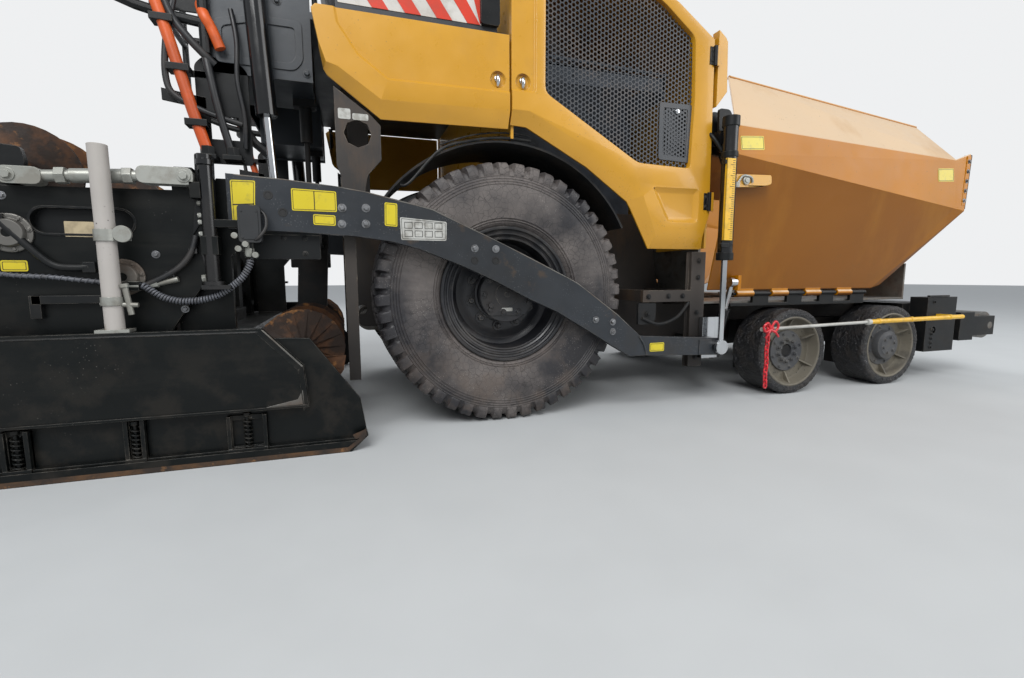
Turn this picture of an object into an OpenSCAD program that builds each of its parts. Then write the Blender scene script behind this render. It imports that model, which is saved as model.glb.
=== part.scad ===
// Wheeled asphalt paver: tractor, receiving hopper and floating screed.
// Millimetres. +X is the travel direction (hopper end), +Y the left side, +Z up.
// Side views are drawn from the rear axle: x = 0 at its centre, z = 0 on the ground.
// Everything is then moved so that the origin lies under the middle of the machine.

/* [Rear wheels] */
// Outer radius of the rear tyre, over its lugs
rear_tyre_r = 550; // [520:5:580]
// Width of the rear tyre
rear_tyre_w = 365; // [320:5:375]
// Distance from the middle plane to the tyre's outer wall
rear_face_y = 800; // [795:1:805]
// Radius of the rim where the tyre sits
rear_rim_r = 285; // [270:5:300]
// Height of the shoulder lugs
lug_h = 22; // [14:1:28]
// Shoulder lugs on each side of a rear tyre
lug_count = 30; // [20:2:36]
/* [Front wheels] */
// Radius of the solid front tyres
front_r = 228; // [215:1:235]
// Width of a front wheel
front_w = 203; // [180:1:210]
// Distance from the middle plane to a front wheel's outer wall
front_face_y = 820; // [810:1:825]
// Height of the front wheel's tread rubber
front_rubber = 48; // [35:1:60]
// Centre of the leading and the trailing front wheel, from the rear axle
front_x = [1581, 2312];
/* [Frame] */
// Distance from the middle plane to the outer face of the frame plates
frame_y = 395; // [380:1:405]
// Thickness of the frame plates
frame_t = 25; // [15:1:35]
// Height of the frame's top edge
frame_top = 960; // [930:5:990]
// Rear end of the frame
frame_rear_x = -640; // [-650:1:-630]
/* [Bodywork] */
// Distance from the middle plane to the outer face of the doors
door_y = 828; // [815:1:829]
// Thickness of a door
door_t = 40; // [25:1:45]
// Height of the operator's deck
deck_z = 1600; // [1590:1:1630]
// Height of the top of the hood
hood_z = 2000; // [1990:5:2050]
/* [Hopper] */
// Distance from the middle plane to a wing's hinge
wing_hinge_y = 720; // [700:1:730]
// Height of a wing's hinge
wing_hinge_z = 535; // [530:1:545]
// Rear edge of the wings
wing_rear_x = 1092; // [1090:1:1110]
// Thickness of the wing's plates
wing_t = 10; // [6:1:14]
// Height of the hopper's floor
floor_z = 485; // [475:1:495]
/* [Tow arms] */
// Inner face of a tow arm, from the middle plane
arm_y = 835; // [834:1:840]
// Thickness of a tow arm
arm_t = 35; // [25:1:36]
// Tow point pin, along the machine
tow_x = 1040; // [1035:1:1045]
// Tow point pin, above the ground
tow_z = 288; // [280:1:300]
// Radius of the tow point pin
tow_pin_r = 16; // [12:1:20]
/* [Screed] */
// Half width of the main screed
main_half = 925; // [880:1:930]
// Front face of the main screed
main_front_x = -1005; // [-1020:1:-1000]
// Depth of the main screed along the machine
main_depth = 400; // [360:5:410]
// Height of the screed boxes
screed_h = 400; // [340:5:410]
// Depth of an extension along the machine
ext_depth = 400; // [350:5:410]
// Radius of the extension's guide tubes
guide_r = 38; // [30:1:44]
// Thickness of an end gate
gate_t = 45; // [40:1:50]
/* [Augers] */
// Radius of the auger flight
auger_r = 162; // [140:2:166]
// Radius of the auger shaft
auger_shaft_r = 32; // [25:1:40]
// Turns of flight on each auger
auger_turns = 3; // [2:1:4]
/* [Canopy] */
// Length of a canopy post between its pivots
post_len = 1300; // [1200:10:1400]
// Thickness of the canopy roof
roof_t = 70; // [50:5:90]

/* [Hidden] */
$fn = 64;

gap = 0.3;                                  // clearance of parts that seat or turn on each other
right = -1;
left = 1;

front_reach = 3325;                         // push rollers' front, from the rear axle
rear_reach = 2150;                          // walkway's rear edge, behind the rear axle
rear_axle_x = -(front_reach - rear_reach) / 2;

rear_axle_z = rear_tyre_r;
rear_mid_y = rear_face_y - rear_tyre_w / 2;
front_axle_z = front_r;
front_mid_y = front_face_y - front_w / 2;
kingpin_y = 570;
kingpin_r = 20;
bogie_x = (front_x[0] + front_x[1]) / 2;
axle_r = 105;
motor_r = 130;
bogie_tube_r = 50;
bogie_tube_z = 314;
spindle_r = 88;
front_spindle_r = 30;
hub_seat = 50;                              // spindle tip, outboard of the front wheel's middle
frame_in = frame_y - frame_t;
frame_front_x = 2560;
deck_t = 25;
guard_r = 625;                              // inside of the mudguards, from the rear axle
guard_top = rear_axle_z + guard_r + 8;
deck_rear_x = -1100;
hood_rear_x = 15;
hood_front_x = 1015;

// Machine-wide helpers

module placed() translate([rear_axle_x, 0, 0]) children();

module both() { children(); mirror([0, 1, 0]) children(); }

module on_side(side) {
    if (side == right) children();
    else mirror([0, 1, 0]) children();
}

// A side-view outline (x, z) as a plate between two distances from the middle plane
module side_plate(y_in, y_out)
    translate([0, -y_in, 0]) rotate([90, 0, 0]) linear_extrude(y_out - y_in) children();

// A cross-section (y, z) as a beam between two places along the machine
module cross_plate(x0, x1)
    translate([x0, 0, 0]) rotate([90, 0, 90]) linear_extrude(x1 - x0) children();

// A box given by its limits; y counts outboard on the right side
module block(x, y, z) translate([x[0], -y[1], z[0]]) cube([x[1] - x[0], y[1] - y[0], z[1] - z[0]]);

// A round bar across the machine
module pin_y(r, y_in, y_out, x, z)
    translate([x, -y_in, z]) rotate([90, 0, 0]) cylinder(r = r, h = y_out - y_in);

// A round bar between two points
module bar(a, b, r) {
    v = b - a;
    translate(a) rotate([0, acos(v[2] / norm(v)), atan2(v[1], v[0])]) cylinder(r = r, h = norm(v));
}

// A tube swept along a route of points
module hose(route, r, sides = 8) {
    n = len(route);
    along = [for (i = [0:n - 1]) let (v = route[min(i + 1, n - 1)] - route[max(i - 1, 0)]) v / norm(v)];
    ring_points = [for (i = [0:n - 1]) let (
            t = along[i],
            u = abs(t[1]) < 0.9 ? cross(t, [0, 1, 0]) : cross(t, [0, 0, 1]),
            a = u / norm(u),
            b = cross(t, a))
        for (k = [0:sides - 1]) route[i] + r * (cos(k * 360 / sides) * a + sin(k * 360 / sides) * b)];
    polyhedron(points = ring_points, faces = concat(
        [[for (k = [0:sides - 1]) k]],
        [[for (k = [sides - 1:-1:0]) (n - 1) * sides + k]],
        [for (i = [0:n - 2], k = [0:sides - 1]) let (j = (k + 1) % sides)
            [i * sides + k, (i + 1) * sides + k, (i + 1) * sides + j, i * sides + j]]));
}

// Frame

eye_r = 22;
rear_eye = [-585, 475];
front_eye = [frame_front_x + 130, 300];

bracket_y = [785, 800];                     // plane of the rear bracket plates
bracket_outline = [[-669, 1315], [-540, 1224], [-507, 1190], [-507, 1066], [-559, 1008], [-575, 930],
    [-612, 900], [-612, 225], [-655, 225], [-655, 1000], [-669, 1040]];
window_centre = [-590, 1155];
window_r = 50;

module frame(side) placed() on_side(side) color("#1c1d1f") {
    difference() {
        side_plate(frame_in, frame_y) polygon([
            [frame_rear_x, 470], [frame_rear_x, deck_z - deck_t], [frame_rear_x + 110, deck_z - deck_t],
            [frame_rear_x + 110, frame_top], [960, frame_top], [1000, 640], [1060, floor_z - 15],
            [frame_front_x, floor_z - 15], [frame_front_x, 260], [600, 260], [300, 330], [-300, 380],
            [-590, 400]]);
        pin_y(axle_r + gap, frame_in - 1, frame_y + 1, 0, rear_axle_z);
        pin_y(eye_r, frame_in - 1, frame_y + 1, rear_eye[0], rear_eye[1]);
        pin_y(bogie_tube_r + gap, frame_in - 1, frame_y + 1, bogie_x, bogie_tube_z);
    }
    // bracket plate behind the wheel, with its window and its two stays
    difference() {
        side_plate(bracket_y[0], bracket_y[1]) polygon(bracket_outline);
        translate([window_centre[0], -bracket_y[0] + 1, window_centre[1]]) rotate([90, 0, 0])
            cylinder(r = window_r, h = 20, $fn = 8);
    }
    for (z = [[1215, 1250], [880, 940]])
        block([frame_rear_x - 14, frame_rear_x + 16], [frame_y, bracket_y[0]], z);
    // guide post of the tow point and its outrigger
    block([925, 1005], [780, 800], [185, 742]);
    block([911, 1017], [775, 780], [185, 742]);
    block([660, 925], [780, 800], [505, 560]);
    block([700, 760], [frame_y, 780], [505, 560]);
    block([930, 1000], [frame_y, 775], [500, 560]);
}

module chassis() placed() color("#1c1d1f") {
    both() {
        // hinge rail of the hopper wings with its pin and fixed knuckles
        block([1245, 2200], [frame_y, 716], [floor_z - 15, floor_z]);
        translate([wing_knuckles[0] - 20, -wing_hinge_y, wing_hinge_z]) rotate([0, 90, 0])
            cylinder(r = hinge_pin_r, h = wing_knuckles[3] - wing_knuckles[0] + knuckle_l + 40);
        for (x = wing_knuckles) {
            translate([x + knuckle_l + 10, -wing_hinge_y, wing_hinge_z]) rotate([0, 90, 0])
                cylinder(r = hinge_r - 5, h = 105);
            block([x + knuckle_l + 10, x + knuckle_l + 115], [698 + gap, 716], [floor_z - 1, wing_hinge_z - 2]);
        }
        // pivot of the wing cylinder
        block([wing_pivot[0] - 50, wing_pivot[0] - 35], [frame_y, -wing_pivot[1] + 20], [wing_pivot[2] - 25, 300]);
        translate([wing_pivot[0] - 45, wing_pivot[1], wing_pivot[2]]) rotate([0, 90, 0])
            cylinder(r = wing_pin_r, h = 80);
    }
    // cross members between the frame plates: x from and to, z from and to
    for (m = [[frame_rear_x, frame_rear_x + 60, 860, 930], [-60, 0, 900, 960], [900, 960, 660, 720],
            [1300, 1400, 265, 330], [2450, 2550, 265, 330]])
        block([m[0], m[1]], [-frame_in, frame_in], [m[2], m[3]]);
}

// Running gear

bogie_top = 372;

module axles() placed() color("#232426") {
    both() {
        // wheel motor between the frame plate and the conveyor, and its spindle
        pin_y(motor_r, frame_in - 52, frame_in - gap, 0, rear_axle_z);
        pin_y(axle_r, frame_in - 1, frame_y + 60, 0, rear_axle_z);
        pin_y(spindle_r, frame_y + 60, rear_face_y - 90, 0, rear_axle_z);
        // front rocker beam on its cross tube
        side_plate(440, 500) polygon([
            [front_x[0] - 90, 250], [front_x[0] - 90, bogie_top], [front_x[1] + 90, bogie_top],
            [front_x[1] + 90, 250], [bogie_x + 120, 200], [bogie_x - 120, 200]]);
        for (x = front_x) {
            block([x - 45, x + 45], [500, kingpin_y + 40], [front_axle_z + 120, front_axle_z + 144]);
            block([x - 45, x + 45], [440, kingpin_y + 40], [front_axle_z - 144, front_axle_z - 120]);
            block([x - 45, x + 45], [440, 500], [front_axle_z - 144, 260]);
            translate([x, -kingpin_y, front_axle_z - 144]) cylinder(r = kingpin_r, h = 288);
        }
    }
    pin_y(bogie_tube_r, -440, 440, bogie_x, bogie_tube_z);
}

module knuckle(i, side) placed() on_side(side) color("#2a2b2c") {
    x = front_x[i];
    difference() {
        union() {
            translate([x, -kingpin_y, front_axle_z - 100]) cylinder(r = 40, h = 200);
            pin_y(front_spindle_r, kingpin_y, front_mid_y + hub_seat, x, front_axle_z);
            pin_y(52, kingpin_y, kingpin_y + 60, x, front_axle_z);
            block([x - 20, x + 130], [kingpin_y - 20, kingpin_y + 15], [front_axle_z + 70, front_axle_z + 95]);
        }
        translate([x, -kingpin_y, 0]) cylinder(r = kingpin_r + gap, h = 600);
    }
}

lug_half = 26;

module rear_tyre(side) placed() on_side(side) color("#222021")
    translate([0, -rear_mid_y, rear_axle_z]) {
        w = rear_tyre_w / 2;
        base = rear_tyre_r - lug_h;
        rotate([90, 0, 0]) rotate_extrude($fn = 90) polygon([
            [rear_rim_r + gap, -w + 45], [rear_rim_r + 20, -w + 20], [rear_rim_r + 90, -w], [base - 70, -w],
            [base - 14, -w + 22], [base, -w + 60], [base, w - 60], [base - 14, w - 22], [base - 70, w],
            [rear_rim_r + 90, w], [rear_rim_r + 20, w - 20], [rear_rim_r + gap, w - 45]]);
        lug_tip = sqrt(pow(rear_tyre_r, 2) - pow(lug_half, 2));
        for (row = [-1, 1], i = [0:lug_count - 1])
            rotate([0, (i + row / 4) * 360 / lug_count, 0])
                translate([base - 30, row > 0 ? 25 : -w + 12, -lug_half])
                    cube([lug_tip - base + 30, w - 37, 2 * lug_half]);
    }

module rear_rim(side) placed() on_side(side) color("#1b1b1c")
    translate([0, -rear_mid_y, rear_axle_z]) rotate([90, 0, 0]) rotate_extrude($fn = 90) {
        w = rear_tyre_w / 2;
        polygon([
            [spindle_r + gap, -w + 25], [130, -w + 25], [130, 0], [rear_rim_r - 45, 20], [rear_rim_r - 25, -w + 30],
            [rear_rim_r + 8, -w + 20], [rear_rim_r + 8, -w + 30], [rear_rim_r, -w + 43], [rear_rim_r, w - 43],
            [rear_rim_r + 8, w - 30], [rear_rim_r + 8, w - 20], [rear_rim_r - 10, w - 22],
            [rear_rim_r - 45, w - 90], [200, 50], [150, 60], [128, 75], [122, 150], [95, w - 6], [0, w - 6],
            [0, w - 85], [spindle_r + gap, w - 85]]);
    }

module front_wheel(i, side) placed() on_side(side) color("#77705c")
    translate([front_x[i], -front_mid_y, front_axle_z]) {
        w = front_w / 2;
        bed = front_r - front_rubber;
        // six webs between the disc and the rim
        for (k = [0:5]) rotate([0, 30 + k * 60, 0]) translate([118, -w + 22, -4]) cube([bed - 128, w - 69, 8]);
        rotate([90, 0, 0]) rotate_extrude($fn = 72) polygon([
            [front_spindle_r + gap, -20], [58, -20], [62, 24], [120, 30], [bed - 18, 30], [bed - 14, -w + 12],
            [bed, -w], [front_r - 12, -w], [front_r, -w + 12], [front_r, w - 12], [front_r - 12, w], [bed, w],
            [bed - 14, w - 10], [bed - 22, 48], [70, 48], [62, i == 0 ? 60 : 88], [0, i == 0 ? 64 : 92],
            [0, hub_seat + gap], [front_spindle_r + gap, hub_seat + gap]]);
    }

// Bodywork

grille_window = [[145, 1935], [145, 1370], [595, 1119], [880, 1112], [892, 1418], [883, 1691],
    [715, 1809], [440, 1935]];
// outer face of the grille door, down to the crease where its lower band starts to lean inboard
grille_face = [[14, 1960], [14, 1294], [82, 1293], [371, 1162], [600, 1030], [627, 985], [699, 815],
    [957, 810], [979, 880], [990, 914], [979, 1690], [783, 1815], [450, 1960]];
// lower edge of the leaning band, from its rear end to its front end
grille_edge = [[14, 1240], [77, 1237], [357, 1096], [560, 960], [581, 929], [679, 753], [975, 754], [979, 879]];
// face of the service door down to its crease, and the edge of its leaning band
service_face = [[-727, 1564], [0, 1574], [0, 1287], [-503, 1276], [-650, 1374], [-712, 1450]];
service_edge = [[0, 1223], [-505, 1216], [-694, 1355], [-713, 1449]];
// pressed field of the service door, behind the ridge over its band
service_field = [[0, 1600], [0, 1366], [-472, 1362], [-572, 1431], [-634, 1508], [-644, 1600]];
field_depth = 8;
band_lean = 30;                             // how far a door's band leans inboard at its edge
band_edge_t = 8;
grille_hinge = [982, door_y + 6];           // knuckles on the door's front edge
grille_hinge_z = [931, 1577];
service_hinge = [-700, 776];                // hidden hinge behind the door's rear edge
service_pin_r = 5;

module engine() placed() color("#3a3b3d")
    block([120, 820], [-frame_y + 5, frame_y - 5], [frame_top, 1620]);

module hood() placed() color("#e0a11b") {
    t = 12;
    inner = door_y - door_t - 3;
    // roof and its two slopes
    block([hood_rear_x, 372], [-door_y, door_y], [hood_z - t, hood_z]);
    side_plate(-inner, inner) polygon([[370, hood_z], [hood_front_x + 25, 1702], [hood_front_x + 25, 1690],
        [370, hood_z - t]]);
    // front wall over the hopper and wall behind the console
    block([hood_front_x - t, hood_front_x], [-inner, inner], [frame_top, 1712]);
    cross_plate(hood_rear_x, hood_rear_x + t) polygon([[-frame_y, frame_top], [-frame_y, guard_top + 8],
        [-inner, guard_top + 8], [-inner, hood_z], [inner, hood_z], [inner, guard_top + 8],
        [frame_y, guard_top + 8], [frame_y, frame_top]]);
    both() {
        // front corner strip beside the grille door
        side_plate(inner, door_y) polygon([[1003, 1735], [1040, 1708], [1052, 1690], [1060, 1474], [1003, 1402]]);
        block([hood_front_x - t, hood_front_x], [frame_y, inner], [760, frame_top + 1]);
        // hinge leaves beside the grille door's knuckles
        leaf_x = [grille_hinge[0] + 9 + gap, hood_front_x - t + 1];
        block(leaf_x, [door_y - 12, door_y + 10], [grille_hinge_z[1], grille_hinge_z[1] + 85]);
        block(leaf_x, [inner - 1, door_y + 10], [grille_hinge_z[0], grille_hinge_z[0] + 85]);
        // front canopy pivot
        block([front_post_x - 30, front_post_x + 30], [post_y[0] - 18, post_y[0] - 6], [hood_z - 1, post_z + 28]);
        pin_y(post_pin_r, post_y[0] - 7, post_y[1], front_post_x, post_z);
        // hanging rail over the doors
        block([hood_rear_x, 372], [inner - 12, door_y], [1966, hood_z]);
    }
}

module mudguards() placed() color("#161718") both()
    translate([0, -frame_y, rear_axle_z]) rotate([90, 0, 0])
        rotate([0, 0, 28]) rotate_extrude(angle = 118, $fn = 90) translate([guard_r, 0]) square([8, 380]);

// Leaning band below a door's face: face points and edge points that lie opposite each other
module door_band(face, edge) for (i = [0:len(edge) - 2]) hull() for (k = [i, i + 1]) {
    pin_y(0.5, door_y - 32, door_y, face[k][0], face[k][1], $fn = 6);
    pin_y(0.5, door_y - band_lean - band_edge_t, door_y - band_lean, edge[k][0], edge[k][1], $fn = 6);
}

module grille_door(side) placed() on_side(side) color("#dd9c18") {
    difference() {
        side_plate(door_y - door_t, door_y) polygon(grille_face);
        side_plate(door_y - door_t - 1, door_y + 1) polygon(grille_window);
        // pressed recess under the window and pressed field behind it
        side_plate(door_y - 12, door_y + 1) polygon([[673, 1027], [930, 1029], [925, 874], [759, 872]]);
        side_plate(door_y - field_depth, door_y + 1) polygon([[10, 1366], [112, 1366], [112, 1961], [10, 1961]]);
        pin_y(16, door_y - 20, door_y, 57, 1404);
    }
    door_band([for (i = [1:8]) grille_face[i]], grille_edge);
    for (z = grille_hinge_z) translate([grille_hinge[0], -grille_hinge[1], z]) cylinder(r = 9, h = 85);
}

mesh_pitch = 58;
mesh_hole_r = 20;

// How far a point lies inside the nearest side of a convex outline
function depth(p, outline) = min([for (i = [0:len(outline) - 1]) let (
    a = outline[i],
    d = outline[(i + 1) % len(outline)] - a) (d[0] * (p[1] - a[1]) - d[1] * (p[0] - a[0])) / norm(d)]);

module grille_mesh(side) placed() on_side(side) color("#2b2c2e")
    side_plate(door_y - 22, door_y - 18) difference() {
        offset(delta = -gap) polygon(grille_window);
        // round holes of the sheet, coarser than the real ones
        for (i = [0:14], k = [0:15]) let (p = [180 + i * mesh_pitch * 0.87, 1145 + (k + i % 2 / 2) * mesh_pitch])
            if (depth(p, grille_window) > mesh_hole_r + 8) translate(p) circle(r = mesh_hole_r, $fn = 6);
    }

module service_door(side) placed() on_side(side) color("#dd9c18") {
    difference() {
        side_plate(door_y - door_t, door_y) polygon(service_face);
        side_plate(door_y - field_depth, door_y + 1) polygon(service_field);
        pin_y(16, door_y - 20, door_y, -49, 1404);
    }
    door_band([for (i = [2:5]) service_face[i]], service_edge);
    // hinge knuckle on the inner face
    difference() {
        union() {
            translate([service_hinge[0], -service_hinge[1], 1465]) cylinder(r = service_pin_r + 4, h = 85);
            block([service_hinge[0] - 6, service_hinge[0] + 6], [service_hinge[1] + 3, door_y - door_t + 1],
                [1470, 1545]);
        }
        translate([service_hinge[0], -service_hinge[1], 1460]) cylinder(r = service_pin_r + gap, h = 95);
    }
}

// Operator's deck

stripe_x = [-650, -40];

module platform() placed() color("#3b3d40") {
    block([frame_rear_x - 60, 10], [-770, 770], [deck_z - deck_t, deck_z]);
    block([deck_rear_x, frame_rear_x - 60], [-700, 700], [deck_z - deck_t, deck_z]);
    both() {
        block(stripe_x, [770, 782], [deck_z - deck_t, deck_z + 170]);
        // side panel, with the hole that holds the lift cylinder's upper pin
        difference() {
            union() {
                block([deck_rear_x, frame_rear_x - 100], [690, 700], [1350, deck_z + 150]);
                block([lift_pin[0] - 50, lift_pin[0] + 50], [690, 700], [deck_z + 149, lift_pin[1] + 50]);
            }
            pin_y(lift_pin_r + gap, 680, 710, lift_pin[0], lift_pin[1]);
        }
        pin_y(lift_pin_r, 690 + gap, lift_y + 24, lift_pin[0], lift_pin[1]);
        // hinge pin of the service door
        block([service_hinge[0] - 12, service_hinge[0] + 12], [740, service_hinge[1] + 9], [1569, deck_z - deck_t + 1]);
        translate([service_hinge[0], -service_hinge[1], 1455]) cylinder(r = service_pin_r, h = 115);
        // rear tank and valve housings below the deck
        block([-1060, -745], [330, 690], [1360, deck_z - deck_t]);
        // rear canopy pillar with its pivot
        block([rear_post_x - 30, rear_post_x + 30], [672, 690], [deck_z, post_z + 30]);
        block([rear_post_x - 30, rear_post_x + 30], [690, post_y[0] - 6], [post_z - 28, post_z + 30]);
        pin_y(post_pin_r, post_y[0] - 7, post_y[1], rear_post_x, post_z);
        // seat pedestals
        block([-560, -300], [400, 640], [deck_z, 1920]);
    }
    block([deck_rear_x, deck_rear_x + 10], [-700, 700], [1480, deck_z]);
}

module console() placed() color("#232527") {
    side_plate(-280, 280) polygon([[-160, deck_z], [-160, 1990], [-250, 2060], [-235, 2120], [5, 2120],
        [5, deck_z]]);
    bar([-210, 0, 2080], [-290, 0, 2200], 18);
    translate([-290, 0, 2200]) rotate([0, -34, 0]) rotate_extrude() translate([160, 0]) circle(r = 14);
    translate([-290, 0, 2200]) rotate([0, -34, 0]) cylinder(r = 40, h = 30, center = true);
    for (a = [0, 120, 240]) translate([-290, 0, 2200]) rotate([0, -34, 0]) rotate([0, 90, a])
        cylinder(r = 10, h = 155);
}

module seats() placed() color("#26272a") both() {
    block([-670, -200], [290, 745], [1920, 2030]);
    side_plate(300, 735) polygon([[-670, 2030], [-760, 2560], [-660, 2580], [-570, 2030]]);
    block([-600, -260], [700, 748], [2150, 2190]);
    block([-600, -560], [700, 740], [2029, 2151]);
}

rail_r = 17;
rail_y = 722;
rail_top = 2400;
rail_mid = 2000;
rail_routes = [
    // loop round the deck's rear corner
    [[-1085, 1500], [-1200, 1512], [-1284, 1530], [-1440, 1585], [-1472, 1625], [-1479, 1680], [-1479, 2300],
        [-1472, 2345], [-1440, 2378], [-1380, 2392], [-1300, rail_top], [-820, rail_top], [-775, 2388],
        [-760, 2350], [-760, 1745]],
    [[-1085, 1400], [-1085, rail_top]],
    [[-1479, rail_mid], [-760, rail_mid]]
];

module handrails() placed() color("#1a1b1c") both() {
    for (route = rail_routes) hose([for (p = route) [p[0], -rail_y, p[1]]], rail_r, 10);
    // rear crossbar
    hose([[-1479, -rail_y, 1960], [-1479, -300, 1960]], rail_r - 2, 10);
    // feet on the deck's side panels
    block([-1099, -1071], [700, rail_y], [1402, 1440]);
    block([-774, -746], [700, rail_y], [1700, 1749]);
}

// Hopper and conveyor

conveyor_half = 320;

module hopper_floor() placed() color("#6d6f70") {
    both() {
        block([1062, frame_front_x], [conveyor_half, 698], [floor_z + gap, floor_z + 12]);
    }
    block([frame_front_x - 1, frame_front_x + 11], [-690, 690], [floor_z + gap, 700]);
    cross_plate(hood_front_x, hood_front_x + 14) difference() {
        polygon([[-700, floor_z], [-780, 1180], [-775, 1300], [-560, 1640], [560, 1640], [775, 1300],
            [780, 1180], [700, floor_z]]);
        translate([-conveyor_half, 0]) square([2 * conveyor_half, 800]);
        translate([-frame_y - 5, 0]) square([2 * frame_y + 10, 610]);
    }
}

conveyor_x = [-550, 2420];
conveyor_drum_r = 60;
conveyor_z = 430;

module conveyor() placed() color("#57524c") {
    for (strand = [right, left]) translate([0, strand * 160, 0]) {
        side_plate(-146, 146) difference() {
            hull() for (x = conveyor_x) translate([x, conveyor_z]) circle(r = conveyor_drum_r);
            hull() for (x = conveyor_x) translate([x, conveyor_z]) circle(r = conveyor_drum_r - 12);
        }
        for (x = [conveyor_x[0]:200:conveyor_x[1]])
            block([x, x + 30], [-146, 146], [conveyor_z + conveyor_drum_r - 2, conveyor_z + conveyor_drum_r + 16]);
    }
    for (x = conveyor_x) pin_y(conveyor_drum_r - 12 - gap, -frame_in + gap, frame_in - gap, x, conveyor_z);
}

// Wing outline on the right side: hinge edge, two folds and the top edge
fold_low = [[wing_rear_x, -870, 1190], [2713, -829, 1012]];
fold_high = [[wing_rear_x + 3, -858, 1322], [2690, -826, 1280]];
wing_top = [[1301, -560, 1661], [2734, -560, 1535]];
hinge_edge = [[wing_rear_x, -wing_hinge_y, wing_hinge_z + 24], [2243, -wing_hinge_y, wing_hinge_z + 24]];
flange_low = [2795, -829, 1002];
flange_high = [2810, -826, 1320];
hinge_r = 16;
hinge_pin_r = 7;
knuckle_l = 110;
wing_knuckles = [1270, 1505, 1740, 1975];   // rear ends of the wing's hinge knuckles

module wing_panel(a, b, c, d) hull() for (p = [a, b, c, d]) translate(p) sphere(r = wing_t / 2, $fn = 6);

module wing(side) placed() on_side(side) color("#cf8f16") {
    wing_panel(hinge_edge[0], hinge_edge[1], fold_low[1], fold_low[0]);
    wing_panel(fold_low[0], fold_low[1], fold_high[1], fold_high[0]);
    wing_panel(fold_high[0], fold_high[1], wing_top[1], wing_top[0]);
    wing_panel(fold_low[1], fold_high[1], flange_high, flange_low);
    wing_panel(hinge_edge[1], fold_low[1], flange_low, hinge_edge[1] + [70, 0, 20]);
    for (x = wing_knuckles) difference() {
        union() {
            translate([x, -wing_hinge_y, wing_hinge_z]) rotate([0, 90, 0]) cylinder(r = hinge_r, h = knuckle_l);
            block([x, x + knuckle_l], [wing_hinge_y - 6, wing_hinge_y + 6], [wing_hinge_z, wing_hinge_z + 26]);
        }
        translate([x - 1, -wing_hinge_y, wing_hinge_z]) rotate([0, 90, 0])
            cylinder(r = hinge_pin_r + gap, h = knuckle_l + 2);
    }
    // lug for the wing cylinder
    block([wing_eye[0] + 18 + gap, wing_eye[0] + 38], [wing_hinge_y - 4, wing_hinge_y + 70], [wing_hinge_z + 20, wing_hinge_z + 95]);
}

wing_pin_r = 14;
wing_pivot = [1200, -655, 225];
wing_eye = [1200, -wing_hinge_y - 48, wing_hinge_z + 60];

module wing_barrel(side) placed() on_side(side) color("#1d1e20") {
    v = wing_eye - wing_pivot;
    u = v / norm(v);
    difference() {
        union() {
            bar(wing_pivot + u * 34, wing_pivot + u * 245, 28);
            translate(wing_pivot - [18, 0, 0]) rotate([0, 90, 0]) cylinder(r = 36, h = 36);
        }
        translate(wing_pivot - [30, 0, 0]) rotate([0, 90, 0]) cylinder(r = wing_pin_r + gap, h = 60);
        bar(wing_pivot + u * 60, wing_pivot + u * 260, 15);
    }
}

module wing_rod(side) placed() on_side(side) color("#c8cacc") {
    v = wing_eye - wing_pivot;
    u = v / norm(v);
    bar(wing_pivot + u * 130, wing_eye, 14);
    translate(wing_eye - [18, 0, 0]) rotate([0, 90, 0]) cylinder(r = 24, h = 36);
}

// Front end

bumper_rear_x = frame_front_x + 62;
bumper_front_x = bumper_rear_x + 258;
bumper_y = [700, 800];                      // inner and outer face of its side boxes

module bumper() placed() color("#1b1c1e") {
    both() {
        difference() {
            block([bumper_rear_x, bumper_front_x], bumper_y, [172, 499]);
            pin_y(eye_r, bumper_y[0] - 10, bumper_y[1] + 10, front_eye[0], front_eye[1]);
        }
        side_plate(frame_in, bumper_y[0]) polygon([[frame_front_x, 400], [frame_front_x, 460], [bumper_rear_x + 10, 460],
            [bumper_rear_x + 10, 400]]);
        block([frame_front_x, bumper_rear_x + 10], [frame_in, 420], [262, 400]);
    }
    block([bumper_front_x - 180, bumper_front_x], [-bumper_y[0], bumper_y[0]], [262, 460]);
    // pivot of the push roller beam
    block([bumper_front_x - 60, beam_pivot_x + 25], [-60, 60], [228, beam_hub_z[0] - gap]);
    block([bumper_front_x - 60, bumper_front_x + 1], [-60, 60], [228, 263]);
    block([bumper_front_x - 1, beam_pivot_x + 25], [-60, 60], [beam_hub_z[1] + gap, 395]);
    translate([beam_pivot_x, 0, 240]) cylinder(r = beam_pin_r, h = 145);
    block([frame_front_x, bumper_front_x - 179], [-frame_in - 10, frame_in + 10], [262, 300]);
}

beam_pivot_x = bumper_front_x + 25;
beam_pin_r = 12;
beam_hub_z = [252, 373];
roller_x = beam_pivot_x + 335;
roller_r = 85;
roller_z = 312;

module roller_beam() placed() color("#1f2022") {
    difference() {
        union() {
            translate([beam_pivot_x, 0, beam_hub_z[0]]) cylinder(r = 22, h = beam_hub_z[1] - beam_hub_z[0]);
            block([beam_pivot_x, beam_pivot_x + 50], [-40, 40], [270, 355]);
            block([beam_pivot_x + 45, beam_pivot_x + 175], [-790, 790], [225, 400]);
            for (y = [-790, -15, 760]) translate([beam_pivot_x + 175, y, 0])
                block([0, 200], [-30, 0], [roller_z - 60, roller_z + 60]);
        }
        pin_y(22 + gap, -800, 800, roller_x, roller_z);
        translate([beam_pivot_x, 0, 200]) cylinder(r = beam_pin_r + gap, h = 300);
    }
}

module push_rollers() placed() color("#8a8b8c") {
    pin_y(22, -790, 790, roller_x, roller_z);
    both() pin_y(roller_r, 25, 752, roller_x, roller_z);
}

guide_rod_y = 915;

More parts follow.
